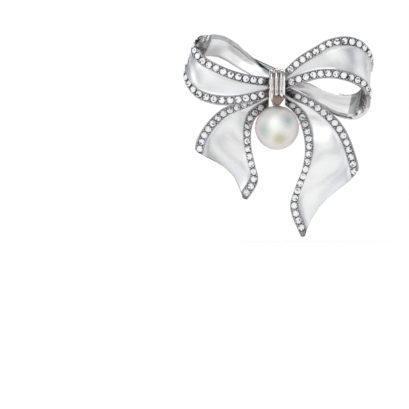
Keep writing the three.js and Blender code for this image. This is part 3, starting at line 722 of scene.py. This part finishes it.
@dataclass
class Ribbon:
    """One ribbon between two lines of stones, a and b; sizes are in millimetres.

    Each station holds a's point and b's point, from the knot outwards. A wave is its depth, its
    start along the ribbon and its length. The bow draws the free end back between its corners,
    and the corner rounds them. Satin shows on a loop's inside past inner_satin.
    """

    name: str
    stations: list[tuple[float, float, float, float, float, float]]
    rail_ends: tuple[float, float]
    stone_runs: tuple[tuple[float, float], tuple[float, float]]
    crown: float
    bow: float = 0.0
    wave: tuple[float, float, float] = (0.0, 0.0, 1.0)
    corner: float = 0.0
    inner_satin: float = 2.0
    steps: int = 170
    wall: float = 0.8
    rail: float = 2.1
    lift: float = 0.35
    lip: float = 0.3
    pitch: float = 1.6
    drill: float = 0.42
    drill_flare: float = 1.15
    step_run: float = 0.004

    @cached_property
    def lines(self) -> tuple[SmoothLine, SmoothLine]:
        """The two stone lines."""
        first = SmoothLine([Vector(row[:3]) for row in self.stations])
        second = SmoothLine([Vector(row[3:]) for row in self.stations])
        return first, second

    @property
    def folds_back(self) -> bool:
        """Whether the ribbon is a loop, whose far half shows its other face."""
        return self.bow == 0.0

    def up(self, u: float) -> Vector:
        """The way out of the decorated face at u."""
        a, b = self.lines
        near = 0.01
        low, high = max(u - near, 0.0), min(u + near, 1.0)
        along = (a.point(high) + b.point(high)) - (a.point(low) + b.point(low))
        return along.cross(b.point(u) - a.point(u)).normalized()

    def place(self, u: float, distance: float, height: float) -> Vector:
        """A point of the surface.

        Args:
            u: how far along the ribbon.
            distance: millimetres in from the edge beside line a.
            height: millimetres over the panel's face.

        Returns:
            The point in millimetres.
        """
        a, b = self.lines
        span = (a.point(u) - b.point(u)).length
        v = (distance - self.rail / 2) / span
        hump = max(0.0, 4 * v * (1 - v))
        nook = max(0.0, 1.0 - min(distance, span + self.rail - distance) / (0.6 * self.rail))
        w = max(0.0, u - self.bow * hump * u**4 - self.corner * nook**2 * u**24)
        rise = height + self.crown * hump * math.sin(math.pi * min(1.0, w * 1.6))
        depth, start, length = self.wave
        rise += depth * hump * math.sin(2 * math.pi * (w - start) / length)
        return a.point(w).lerp(b.point(w), v) + self.up(w) * rise

    def section(self, u: float) -> list[tuple[float, float]]:
        """The closed outline across the ribbon at u, as distance and height.

        Args:
            u: how far along the ribbon.

        Returns:
            The outline's points, the last meeting the first.
        """
        a, b = self.lines
        width = (a.point(u) - b.point(u)).length + self.rail
        rail = min(self.rail, 0.46 * width)
        share = rail / self.rail
        outline: list[tuple[float, float]] = []
        sides = []
        for end in self.rail_ends:
            ramp = max(0.0, min(1.0, (end - u) / self.step_run + 1.0))
            rim = self.lift * ramp
            floor = 0.06 * ramp
            lip = self.lip
            sides.append(
                [
                    (0.0, -self.wall * 0.5),
                    (0.0, rim - 0.12),
                    (0.03, rim - 0.04),
                    (0.1, rim),
                    (lip - 0.06, rim),
                    (lip, rim - 0.05 * ramp),
                    (lip + 0.03, floor),
                    (self.rail / 2, floor * 0.6),
                    (self.rail - lip - 0.03, floor),
                    (self.rail - lip, rim - 0.05 * ramp),
                    (self.rail - lip + 0.06, rim),
                    (self.rail - 0.13, rim),
                    (self.rail - 0.06, rim * 0.82),
                    (self.rail - 0.02, rim * 0.2),
                    (self.rail + 0.06, 0.0),
                ]
            )
        outline += [(s * share, h) for s, h in sides[0]]
        panel = width - 2 * rail
        outline += [(rail + panel * part, 0.0) for part in (0.12, 0.26, 0.4, 0.5, 0.6, 0.74, 0.88)]
        outline += [(width - s * share, h) for s, h in reversed(sides[1])]
        corner = [(0.0, -self.wall + 0.14), (0.04, -self.wall + 0.04), (0.14, -self.wall)]
        outline += [(width - s, h) for s, h in corner]
        outline += [(width * part, -self.wall) for part in (0.85, 0.68, 0.5, 0.36, 0.22)]
        outline += list(reversed(corner))
        outline.append(outline[0])
        return outline

    @staticmethod
    def skin_of(strip: int) -> Skin:
        """The finish of one strip of the section, counted from edge a over the face and back."""
        if strip in FLOOR_STRIPS:
            return Skin.FLOOR
        if strip in PANEL_STRIPS:
            return Skin.SATIN
        if strip in BACK_STRIPS:
            return Skin.BACK
        return Skin.RAIL

    @property
    def places_along(self) -> list[float]:
        """The values of u that the mesh has rows at."""
        rows = [i / self.steps for i in range(self.steps + 1)]
        for end in self.rail_ends:
            if end < 1.0:
                rows += [end, end + self.step_run * 0.5, end + self.step_run]
        return sorted(set(round(u, 6) for u in rows))

    def build(self, finishes: Finishes) -> bpy.types.Object:
        """Models the ribbon as a grid wrapped round its section, and drills its stone seats.

        Args:
            finishes: the materials.

        Returns:
            The ribbon's object.
        """
        rows = self.places_along
        sections = [self.section(u) for u in rows]
        across = len(sections[0]) - 1
        bm = bmesh.new()
        bmesh.ops.create_grid(bm, x_segments=len(rows) - 1, y_segments=across, size=0.5)
        cells = {}
        for vert in bm.verts:
            i = round((vert.co.x + 0.5) * (len(rows) - 1))
            j = round((vert.co.y + 0.5) * across)
            cells[vert.index] = (i, j)
        for face in bm.faces:
            held = [cells[v.index] for v in face.verts]
            strip = min(j for _, j in held)
            row = min(i for i, _ in held)
            face.material_index = self.dress(strip, rows[row]).value
        for vert in bm.verts:
            i, j = cells[vert.index]
            distance, height = sections[i][j]
            vert.co = self.place(rows[i], distance, height) * MM
        bmesh.ops.remove_doubles(bm, verts=bm.verts, dist=0.0004 * MM)
        rims = [e for e in bm.edges if e.is_boundary]
        caps = bmesh.ops.holes_fill(bm, edges=rims, sides=0)["faces"]
        for face in caps:
            face.material_index = Skin.RAIL.value
        bmesh.ops.triangulate(bm, faces=caps)
        bmesh.ops.recalc_face_normals(bm, faces=bm.faces)
        materials = [finishes.satin, finishes.rail, finishes.mirror, finishes.setting, finishes.turn]
        made = finish_object(self.name, bm, materials, sharp=RIBBON_CREASE)
        cut(made, self.drills())
        return made

    def dress(self, strip: int, u: float) -> Skin:
        """The finish of a strip at u; a loop's far half has its satin inside."""
        skin = self.skin_of(strip)
        if not self.folds_back or u <= max(self.rail_ends) + 0.02:
            return skin
        if strip in INNER_PANEL_STRIPS:
            return Skin.SATIN if u > self.inner_satin else Skin.TURN
        if strip == INNER_BORDER_STRIP and u > self.inner_satin:
            return Skin.RAIL
        return Skin.BACK

    def seats(self, side: int) -> list[Seat]:
        """The stone seats along one line, evenly spaced.

        Args:
            side: 0 for line a, 1 for line b.

        Returns:
            One seat per stone, in millimetres.
        """
        line = self.lines[side]
        start, end = self.stone_runs[side]
        fine = 500
        us = [start + (end - start) * i / fine for i in range(fine + 1)]
        points = [line.point(u) for u in us]
        lengths = [0.0]
        for before, after in zip(points, points[1:]):
            lengths.append(lengths[-1] + (after - before).length)
        count = int(lengths[-1] / self.pitch) + 1
        found = []
        for i in range(count):
            goal = lengths[-1] * i / (count - 1)
            k = next(j for j, length in enumerate(lengths) if length >= goal - 1e-6)
            ahead = points[min(k + 3, fine)] - points[max(k - 3, 0)]
            found.append(Seat(points[k], ahead.normalized(), self.up(us[k])))
        return found

    def drills(self) -> bpy.types.Object:
        """One object with a drill through the ribbon for every stone."""
        bm = bmesh.new()
        for side in (0, 1):
            for seat in self.seats(side):
                place = basis(seat.middle * MM, seat.along, seat.up)
                bmesh.ops.create_cone(
                    bm,
                    cap_ends=True,
                    segments=14,
                    radius1=self.drill * MM,
                    radius2=self.drill * self.drill_flare * MM,
                    depth=3.0 * self.wall * MM,
                    matrix=place,
                )
        return finish_object(f"{self.name}_drills", bm, [], sharp=30.0)


@dataclass
class StoneRow:
    """The stones of one line, each a small round brilliant, with the beads that hold them."""

    name: str
    ribbon: Ribbon
    side: int
    girdle: float = 0.72
    table: float = 0.42
    crown: float = 0.2
    pavilion: float = 0.42
    seat_depth: float = 0.02
    turn: float = 0.35
    bead: float = 0.18
    bead_offset: float = 0.6
    bead_lift: float = 0.02

    def brilliant(self) -> bpy.types.Mesh:
        """One stone, its girdle at height 0: a crown, a thin girdle and a pavilion."""
        bm = bmesh.new()
        sides = 8
        girdle_wall = 0.04
        levels = [
            (self.girdle, self.table, girdle_wall, girdle_wall + self.crown),
            (self.girdle, self.girdle, 0.0, girdle_wall),
            (0.02, self.girdle, -self.pavilion, 0.0),
        ]
        for low_radius, high_radius, low, high in levels:
            bmesh.ops.create_cone(
                bm,
                cap_ends=False,
                segments=sides,
                radius1=low_radius * MM,
                radius2=high_radius * MM,
                depth=(high - low) * MM,
                matrix=Matrix.Translation((0, 0, (low + high) / 2 * MM)),
            )
        bmesh.ops.remove_doubles(bm, verts=bm.verts, dist=0.001 * MM)
        bmesh.ops.holes_fill(bm, edges=[e for e in bm.edges if e.is_boundary], sides=0)
        bmesh.ops.recalc_face_normals(bm, faces=bm.faces)
        return part_mesh(bm, "brilliant")

    def build(self, finishes: Finishes) -> bpy.types.Object:
        """Returns the row of stones."""
        stone = self.brilliant()
        bm = bmesh.new()
        height = self.ribbon.lift - self.seat_depth
        for index, seat in enumerate(self.ribbon.seats(self.side)):
            place = basis((seat.middle + seat.up * height) * MM, seat.along, seat.up)
            turned = place @ Matrix.Rotation(index * self.turn, 4, "Z")
            add_mesh(bm, stone, turned)
        bpy.data.meshes.remove(stone)
        return finish_object(self.name, bm, [finishes.stone], sharp=None)

    def build_beads(self, finishes: Finishes) -> bpy.types.Object:
        """The bead prongs, two between each pair of stones."""
        bm = bmesh.new()
        bmesh.ops.create_icosphere(bm, subdivisions=1, radius=self.bead * MM)
        bmesh.ops.scale(bm, vec=(1.0, 1.0, 1.1), verts=bm.verts)
        bead = part_mesh(bm, "bead")
        seats = self.ribbon.seats(self.side)
        whole = bmesh.new()
        for before, after in zip(seats, seats[1:]):
            up = (before.up + after.up).normalized()
            along = (after.middle - before.middle).normalized()
            across = up.cross(along)
            middle = (before.middle + after.middle) / 2 + up * (self.ribbon.lift + self.bead_lift)
            for way in (-1, 1):
                point = middle + across * (way * self.bead_offset)
                add_mesh(whole, bead, basis(point * MM, along, up))
        bpy.data.meshes.remove(bead)
        return finish_object(self.name.replace("stones", "beads"), whole, [finishes.bead], sharp=80.0)


@dataclass
class Bow:
    """The four ribbons and their eight rows of stones."""

    finishes: Finishes

    def ribbons(self) -> list[Ribbon]:
        """The two loops and two tails."""
        left_loop = Ribbon(
            name="left_loop",
            stations=[
                (-1.75, -8.6, 1.0, -1.75, -8.6, -1.3),
                (-6.3, -9.8, 1.6, -6.2, -10.0, -2.4),
                (-10.0, -10.3, 2.6, -10.0, -10.5, -2.95),
                (-13.1, -10.2, 3.95, -13.7, -10.4, -2.7),
                (-15.9, -9.4, 5.5, -16.9, -9.5, -1.5),
                (-17.4, -8.1, 7.2, -18.9, -8.0, 0.8),
                (-17.7, -6.4, 9.0, -19.6, -6.2, 3.5),
                (-17.0, -4.1, 10.3, -18.8, -3.9, 5.6),
                (-14.9, -2.2, 10.6, -16.4, -2.2, 7.4),
                (-12.0, -1.7, 10.2, -13.0, -1.7, 7.6),
                (-9.5, -1.7, 8.8, -10.7, -1.7, 6.7),
                (-7.0, -1.8, 6.6, -7.9, -1.8, 5.0),
                (-4.3, -2.0, 4.2, -5.0, -2.4, 3.3),
                (-1.75, -2.4, 2.5, -1.75, -3.2, 1.5),
            ],
            rail_ends=(0.47, 0.47),
            stone_runs=((0.03, 0.46), (0.03, 0.46)),
            crown=0.35,
            wave=(0.4, 0.28, 0.45),
            inner_satin=0.63,
        )
        right_loop = Ribbon(
            name="right_loop",
            stations=[
                (1.75, -8.6, 0.5, 1.75, -8.6, 2.7),
                (5.6, -9.8, 1.9, 5.0, -9.6, 5.5),
                (9.4, -10.3, 2.8, 8.4, -10.1, 7.6),
                (12.9, -10.5, 2.7, 11.5, -10.2, 9.3),
                (16.1, -9.8, 1.9, 15.0, -9.7, 9.8),
                (18.4, -8.5, 0.8, 17.9, -8.5, 9.0),
                (19.8, -6.9, -0.9, 19.9, -6.9, 6.9),
                (20.2, -5.1, -2.9, 20.4, -4.9, 4.2),
                (19.2, -3.1, -4.9, 19.8, -3.1, 1.2),
                (16.9, -1.9, -6.0, 17.6, -1.9, -2.0),
                (13.6, -1.7, -5.4, 14.2, -1.7, -2.7),
                (9.8, -1.7, -3.3, 10.2, -1.7, -1.8),
                (6.2, -1.9, -1.5, 6.6, -1.9, -0.1),
                (1.75, -2.8, -0.8, 1.75, -2.6, 0.6),
            ],
            rail_ends=(0.49, 0.535),
            stone_runs=((0.03, 0.48), (0.03, 0.525)),
            crown=0.35,
            wave=(0.32, 0.2, 0.45),
            inner_satin=0.725,
        )
        left_tail = Ribbon(
            name="left_tail",
            stations=[
                (-1.75, -5.2, -1.0, -1.75, -4.8, -3.2),
                (-4.8, -5.4, -2.6, -3.8, -4.4, -4.6),
                (-8.2, -5.2, -4.2, -5.6, -4.3, -6.4),
                (-11.2, -4.8, -5.5, -6.4, -4.6, -9.1),
                (-13.7, -4.6, -7.7, -6.4, -4.9, -12.4),
                (-15.5, -5.0, -10.1, -5.7, -4.7, -16.0),
                (-16.5, -5.6, -12.4, -5.0, -4.5, -19.8),
                (-16.9, -6.2, -14.3, -7.4, -4.9, -24.1),
            ],
            rail_ends=(1.0, 1.0),
            stone_runs=((0.12, 0.93), (0.12, 0.96)),
            crown=0.2,
            bow=0.09,
            wave=(0.42, 0.4, 0.6),
            corner=0.02,
            steps=130,
        )
        right_tail = Ribbon(
            name="right_tail",
            stations=[
                (1.75, -4.8, -2.8, 1.75, -5.2, -0.6),
                (3.8, -4.4, -4.2, 5.2, -5.4, -2.3),
                (5.6, -4.3, -6.6, 8.6, -5.2, -4.3),
                (6.6, -4.6, -9.8, 11.4, -4.8, -6.6),
                (7.0, -5.0, -13.2, 13.7, -4.6, -9.4),
                (6.4, -4.9, -17.2, 15.2, -4.8, -12.5),
                (5.0, -4.6, -21.0, 16.2, -5.2, -15.6),
                (3.8, -4.7, -25.6, 16.7, -5.8, -17.7),
                (6.1, -5.2, -32.3, 16.8, -6.2, -19.1),
            ],
            rail_ends=(1.0, 1.0),
            stone_runs=((0.1, 0.965), (0.1, 0.925)),
            crown=0.2,
            bow=0.055,
            wave=(0.8, 0.45, 0.55),
            corner=0.014,
            steps=150,
        )
        return [left_loop, right_loop, left_tail, right_tail]

    def rows(self, ribbon: Ribbon) -> list[StoneRow]:
        """The two stone rows of a ribbon, named as the frame names them."""
        names = {
            "left_loop": ("left_loop_upper_stones", "left_loop_lower_stones"),
            "right_loop": ("right_loop_lower_stones", "right_loop_upper_stones"),
            "left_tail": ("left_tail_outer_stones", "left_tail_inner_stones"),
            "right_tail": ("right_tail_inner_stones", "right_tail_outer_stones"),
        }
        return [StoneRow(f"set_{node}", ribbon, side) for side, node in enumerate(names[ribbon.name])]

    def build(self) -> None:
        """Models every ribbon, stone row and bead row."""
        for ribbon in self.ribbons():
            body = ribbon.build(self.finishes)
            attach(body, "root")
            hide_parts(f"{ribbon.name}_ribbon")
            log.info("ribbon %s: %d faces", ribbon.name, len(body.data.polygons))
            for row in self.rows(ribbon):
                stones = row.build(self.finishes)
                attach(stones, "root")
                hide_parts(row.name.removeprefix("set_"))
                beads = row.build_beads(self.finishes)
                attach(beads, "root")
                log.info("row %s", row.name)


# ---------------------------------------------------------------- knot, pearl and cup


@dataclass
class Knot:
    """Three polished bands over the middle, drawn together into a pointed drop over the pearl."""

    finishes: Finishes
    band: float = 0.49
    spacing: float = 1.02
    lean: float = -0.12
    arch: float = 0.3
    steps: int = 96
    drop_radius: float = 1.62

    def outline(self) -> list[Vector]:
        """The bands' way round the core: the share of their spacing, then Y and Z."""
        low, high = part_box("knot_wire_middle")
        front, back = low.y / MM + 0.6, high.y / MM - 0.55
        top, bottom = high.z / MM - 0.95, low.z / MM - 0.05
        return [
            Vector((0.35, front + 2.9, bottom - 0.2)),
            Vector((0.62, front + 1.5, bottom + 0.4)),
            Vector((0.95, front + 0.35, bottom + 1.4)),
            Vector((1.0, front + 0.0, 0.0)),
            Vector((1.04, front + 0.2, top - 1.5)),
            Vector((1.1, front + 1.1, top - 0.3)),
            Vector((1.12, front + 2.6, top)),
            Vector((1.06, back - 2.4, top)),
            Vector((1.04, back - 0.9, top - 0.4)),
            Vector((1.0, back - 0.1, top - 1.6)),
            Vector((0.92, back, 0.0)),
            Vector((0.8, back - 0.1, bottom + 1.3)),
            Vector((0.6, back - 1.0, bottom + 0.2)),
            Vector((0.45, back - 2.2, bottom - 0.15)),
        ]

    def band_mesh(self, path: SmoothLine, way: int) -> bmesh.types.BMesh:
        """One band as a round bar bent along the path.

        Args:
            path: the way round the core.
            way: -1 for the left band, 0 for the middle and 1 for the right.

        Returns:
            The band's bmesh.
        """
        bm = bmesh.new()
        bmesh.ops.create_cone(bm, cap_ends=True, segments=20, radius1=1.0, radius2=1.0, depth=1.0)
        bars = [e for e in bm.edges if abs(e.verts[0].co.z - e.verts[1].co.z) > 0.5]
        bmesh.ops.subdivide_edges(bm, edges=bars, cuts=self.steps - 1)
        for vert in bm.verts:
            t = vert.co.z + 0.5
            here = path.point(t)
            ahead = path.point(min(1.0, t + 0.01)) - path.point(max(0.0, t - 0.01))
            along = Vector((0.0, ahead.y, ahead.z)).normalized()
            out = Vector((0.0, -along.z, along.y))
            low = self.arch * abs(way) * max(0.0, min(1.0, here.z / 4.0)) ** 2
            centre = Vector((way * self.spacing * here.x + self.lean, here.y, here.z - low))
            thick = self.band * (0.78 + 0.22 * min(1.0, here.x))
            side = Vector((vert.co.x * thick * 0.94, 0.0, 0.0))
            vert.co = (centre + side + out * (vert.co.y * thick)) * MM
        bmesh.ops.recalc_face_normals(bm, faces=bm.faces)
        return bm

    def drop(self) -> bpy.types.Object:
        """The pointed drop that the bands run into, spun from its half outline."""
        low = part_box("knot_wire_middle")[0]
        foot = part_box("pearl")[1].z / MM
        half = [
            (0.001, foot - 0.3),
            (0.3, foot - 0.12),
            (0.7, foot + 0.35),
            (1.15, foot + 1.0),
            (self.drop_radius, foot + 1.75),
            (self.drop_radius * 0.98, foot + 2.1),
            (self.drop_radius * 0.8, foot + 2.4),
            (0.001, foot + 2.6),
        ]
        bm = spun(half, steps=40)
        bmesh.ops.scale(bm, vec=(1.0, 0.82, 1.0), verts=bm.verts)
        bmesh.ops.translate(bm, vec=(0.1 * MM, low.y + 1.55 * MM, 0.0), verts=bm.verts)
        bmesh.ops.recalc_face_normals(bm, faces=bm.faces)
        return finish_object("pointed_drop", bm, [self.finishes.shade_and_reflection], sharp=60.0)

    def build(self) -> None:
        """Models the bands and the drop, and refines the core."""
        path = SmoothLine(self.outline())
        for node, way in (("knot_wire_left", -1), ("knot_wire_middle", 0), ("knot_wire_right", 1)):
            bm = self.band_mesh(path, way)
            band = finish_object(f"polished_{node}", bm, [self.finishes.band], sharp=50.0)
            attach(band, "root")
            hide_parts(node)
            log.info("band %s", node)
        # the core takes the painted shade and reflection finish, so the gaps between the bands read dark
        core = refined_copy("knot_block", "knot_core", self.finishes.shade_and_reflection, edge=0.2)
        for piece in (core, self.drop()):
            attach(piece, "root")


@dataclass
class PearlSetting:
    """The pearl, its peg and the three-pointed cup behind it."""

    finishes: Finishes
    segments: int = 96
    cup_wall: float = 0.4
    cup_gap: float = 0.1
    hollow: float = 0.6
    lower_trim: float = 0.14
    tips: tuple[float, ...] = (0.16, math.pi / 2, math.pi - 0.05)
    point_width: float = 0.62
    point_taper: float = 1.6
    point_reach: float = 0.985
    fan_start: float = 1.2
    fan_length: float = 1.2
    fan_thinning: float = 0.6
    fan_lean: float = 0.35
    stem_front: float = -3.05

    @cached_property
    def radius(self) -> float:
        """The pearl's radius in metres, from its box."""
        low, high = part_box("pearl")
        return (high.x - low.x) / 2

    @cached_property
    def middle(self) -> Vector:
        """The pearl's middle: its front and sides are whole, its back is bored."""
        low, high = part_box("pearl")
        return Vector(((low.x + high.x) / 2, low.y + self.radius, (low.z + high.z) / 2))

    def reach(self, turn: float) -> float:
        """How far the cup's edge reaches from its middle at an angle, as a share of its radius.

        Args:
            turn: the angle from the right, anticlockwise seen from the front.

        Returns:
            Nearly 1 at a point and the hollow's share between the points.
        """
        best = 0.0
        for tip in self.tips:
            away = abs((turn - tip + math.pi) % (2 * math.pi) - math.pi)
            best = max(best, max(0.0, 1.0 - away / self.point_width) ** self.point_taper)
        base = self.hollow - (self.lower_trim if turn > math.pi else 0.0) * abs(math.sin(turn)) ** 2
        return base + (self.point_reach - base) * best

    def cup(self) -> bpy.types.Object:
        """The three-pointed dish: a round grid laid on the pearl's back and given its wall."""
        across, around = 22, 144
        outer = self.radius / MM + self.cup_gap + self.cup_wall
        bm = bmesh.new()
        bmesh.ops.create_grid(bm, x_segments=around, y_segments=across, size=0.5)
        for vert in bm.verts:
            turn = (vert.co.x + 0.5) * 2 * math.pi
            share = vert.co.y + 0.5
            tilt = math.asin(self.reach(turn % (2 * math.pi))) * share
            way = Vector((math.sin(tilt) * math.cos(turn), math.cos(tilt), math.sin(tilt) * math.sin(turn)))
            vert.co = self.middle + way * outer * MM
        bmesh.ops.remove_doubles(bm, verts=bm.verts, dist=0.002 * MM)
        bmesh.ops.recalc_face_normals(bm, faces=bm.faces)
        if sum((f.normal.dot(f.calc_center_median() - self.middle) for f in bm.faces)) < 0:
            bmesh.ops.reverse_faces(bm, faces=bm.faces)
        bmesh.ops.solidify(bm, geom=bm.faces[:] + bm.edges[:] + bm.verts[:], thickness=self.cup_wall * MM)
        bmesh.ops.recalc_face_normals(bm, faces=bm.faces)
        return finish_object("pointed_cup", bm, [self.finishes.mirror], sharp=50.0)

    def stem(self) -> bpy.types.Object:
        """The stem from the knot down to the dish, spun and then flattened where it fans out."""
        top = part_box("pearl_cup")[1].z / MM
        half = [(0.001, 0.1), (0.85, 0.1), (0.92, 0.0), (0.86, -0.2), (0.6, -0.5), (0.56, -0.9)]
        half += [(0.66, -1.3), (0.95, -1.7), (1.5, -2.15), (1.3, -2.5), (0.001, -2.6)]
        bm = spun([(radius, top + height) for radius, height in half], steps=32)
        for vert in bm.verts:
            fan = max(0.0, min(1.0, (top - self.fan_start - vert.co.z / MM) / self.fan_length))
            back = self.fan_lean * fan + self.stem_front
            vert.co.y = vert.co.y * (1.0 - self.fan_thinning * fan) + back * MM
        bmesh.ops.recalc_face_normals(bm, faces=bm.faces)
        return finish_object("fanned_stem", bm, [self.finishes.mirror], sharp=50.0)

    def build(self) -> None:
        """Models the pearl, its cup and stem, and refines the peg."""
        bm = bmesh.new()
        bmesh.ops.create_uvsphere(
            bm,
            u_segments=self.segments,
            v_segments=self.segments // 2,
            radius=self.radius,
            matrix=Matrix.Translation(self.middle) @ Matrix.Rotation(math.pi / 2, 4, "X"),
        )
        pearl = finish_object("round_pearl", bm, [self.finishes.nacre], sharp=60.0)
        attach(pearl, "root")
        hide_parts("pearl")
        peg = refined_copy("glued_peg", "pearl_peg", self.finishes.steel, edge=0.04)
        cup = self.cup()
        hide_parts("pearl_cup")
        for piece in (cup, self.stem(), peg):
            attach(piece, "root")
        log.info("pearl and cup")


# ---------------------------------------------------------------- pin, joint and catch


@dataclass
class Fastening:
    """The pin with its joint, and the roll-over safety catch.

    Each leaf of the joint is its distance along the hinge, its radius and its thickness.
    """

    finishes: Finishes
    leaves: tuple[tuple[float, float, float], ...] = ((1.22, 1.08, 0.36), (1.62, 0.98, 0.34))
    leaf_roundness: float = 0.7

    def build(self) -> None:
        """Refines each piece of the fastening on its own body."""
        bright, steel = self.finishes.fitting, self.finishes.steel
        pieces = [
            ("soldered_joint_plate", "joint_base_plate", bright, "root", "polished_white_metal", 0.1),
            ("domed_joint_fork", "joint_fork", bright, "root", "polished_white_metal", 0.06),
            ("spread_rivet", "joint_rivet", steel, "root", "pin_steel", 0.03),
            ("pin_with_eye", "pin_stem", steel, "pin", "pin_steel", 0.04),
            ("soldered_catch_plate", "catch_base_plate", bright, "root", "polished_white_metal", 0.1),
            ("slotted_barrel", "catch_barrel", bright, "root", "polished_white_metal", 0.035),
            ("turning_rotor", "catch_rotor", steel, "rotor", "pin_steel", 0.03),
        ]
        for name, node, material, body, slot, edge in pieces:
            piece = refined_copy(name, node, material, edge)
            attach(piece, body)
            log.info("fastening %s", name)
        leaves = self.knuckle_leaves()
        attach(leaves, "root")

    def knuckle_leaves(self) -> bpy.types.Object:
        """The rounded leaves stacked outside the fork's ears, on the hinge's own line."""
        hinge = next(j for j in frame["joints"] if j["name"] == "pin_hinge")
        middle, axis = Vector(hinge["pos_m"]), Vector(hinge["axis"])
        bm = bmesh.new()
        for along, radius, thick in self.leaves:
            for way in (-1, 1):
                place = basis(middle + axis * (way * along * MM), Vector((0, 1, 0)), axis)
                first = bmesh.ops.create_uvsphere(
                    bm, u_segments=28, v_segments=14, radius=radius * MM, matrix=Matrix.Identity(4)
                )["verts"]
                for vert in first:
                    flat = max(-1.0, min(1.0, vert.co.z / (radius * MM)))
                    vert.co.z = math.copysign(abs(flat) ** self.leaf_roundness, flat) * thick / 2 * MM
                bmesh.ops.transform(bm, matrix=place, verts=first)
        bmesh.ops.recalc_face_normals(bm, faces=bm.faces)
        return finish_object("knuckle_leaves", bm, [self.finishes.fitting], sharp=60.0)


# ---------------------------------------------------------------- studio


@dataclass
class Studio:
    """The pale ground, the lights and the camera."""

    finishes: Finishes
    aim: tuple[float, float] = (-15.66, -25.4)
    distance: float = 2000.0
    view_width: float = 88.3
    front: float = -8.0
    lit_point: tuple[float, float, float] = (0.0, -5.0, -8.0)
    ground_gap: float = 0.3

    def build(self) -> None:
        """Places the ground, the lights, the sky and the camera."""
        self.build_ground()
        self.build_lights()
        self.build_sky()
        self.build_camera()

    def build_ground(self) -> None:
        """A wide plain ground just under the lowest tail tip."""
        bm = bmesh.new()
        level = cad_box[0].z - self.ground_gap * MM
        bmesh.ops.create_grid(bm, x_segments=8, y_segments=8, size=3.0)
        bmesh.ops.translate(bm, vec=(0, 0, level), verts=bm.verts)
        ground = finish_object("ground", bm, [self.finishes.ground])

    def build_lights(self) -> None:
        """Large soft panels: a key from above, a fill from each side and one behind."""
        panels = [
            ("key", (-90, -220, 270), 300, 1.1),
            ("side_left", (-290, -120, 20), 200, 0.7),
            ("side_right", (300, -90, 60), 180, 0.5),
            ("back", (60, 260, 220), 250, 0.9),
        ]
        for name, place, size, brightness in panels:
            data = bpy.data.lights.new(name, "AREA")
            data.shape = "SQUARE"
            data.size = size * MM
            data.energy = brightness * math.pi * (size * MM) ** 2
            lamp = bpy.data.objects.new(name, data)
            lamp.location = Vector(place) * MM
            toward = Vector(self.lit_point) * MM - lamp.location
            lamp.rotation_mode = "QUATERNION"
            lamp.rotation_quaternion = toward.to_track_quat("-Z", "Y")
            bpy.context.scene.collection.objects.link(lamp)

    def build_sky(self) -> None:
        """A white room for the eye, a grey one for matt pieces and a banded one for polished metal."""
        world = bpy.data.worlds.new("white_room")
        bpy.context.scene.world = world
        world.use_nodes = True
        sky = Wiring(world.node_tree)
        way = sky.node("ShaderNodeTexCoord").outputs["Generated"]
        depth = sky.node("ShaderNodeSeparateXYZ", Vector=way).outputs["Y"]
        bands = sky.ramp(
            sky.noise(way, Scale=2.3, Detail=2.0),
            (0.44, (0.03, 0.03, 0.035, 1.0)),
            (0.6, (0.55, 0.57, 0.61, 1.0)),
        )
        shapes = sky.ramp(
            sky.noise(way, Scale=2.9, Detail=1.0, Distortion=0.6),
            (0.43, (0.008, 0.008, 0.01, 1.0)),
            (0.49, (0.95, 0.96, 0.98, 1.0)),
        )
        room = sky.mix(sky.window(depth, 0.05, 0.3), bands, shapes)
        room = sky.mix(sky.window(sky.number("MULTIPLY", depth, -1.0), 0.69, 0.98), room, WHITE)
        path = sky.node("ShaderNodeLightPath").outputs
        room = sky.mix(path["Is Diffuse Ray"], room, grey(0.68))
        room = sky.mix(path["Is Camera Ray"], room, WHITE)
        background = sky.tree.nodes["Background"]
        sky.feed(room, background.inputs["Color"])
        sky.feed(1.0, background.inputs["Strength"])

    def build_camera(self) -> None:
        """A long lens straight at the front, aimed past the brooch's lower left."""
        scene = bpy.context.scene
        data = bpy.data.cameras.new("camera")
        data.sensor_width = 36.0
        data.lens = data.sensor_width * (self.distance + self.front) / self.view_width
        data.clip_start = 0.01
        data.clip_end = 20.0
        camera = bpy.data.objects.new("camera", data)
        camera.location = Vector((self.aim[0], -self.distance, self.aim[1])) * MM
        camera.rotation_euler = (math.pi / 2, 0.0, 0.0)
        scene.collection.objects.link(camera)
        scene.camera = camera
        scene.view_settings.view_transform = "Standard"


def main() -> None:
    """Builds every class in order."""
    logging.basicConfig(level=logging.INFO, format="%(name)s %(message)s")
    finishes = Finishes()
    Studio(finishes).build()
    Bow(finishes).build()
    Knot(finishes).build()
    PearlSetting(finishes).build()
    Fastening(finishes).build()


if __name__ == "__main__":
    main()
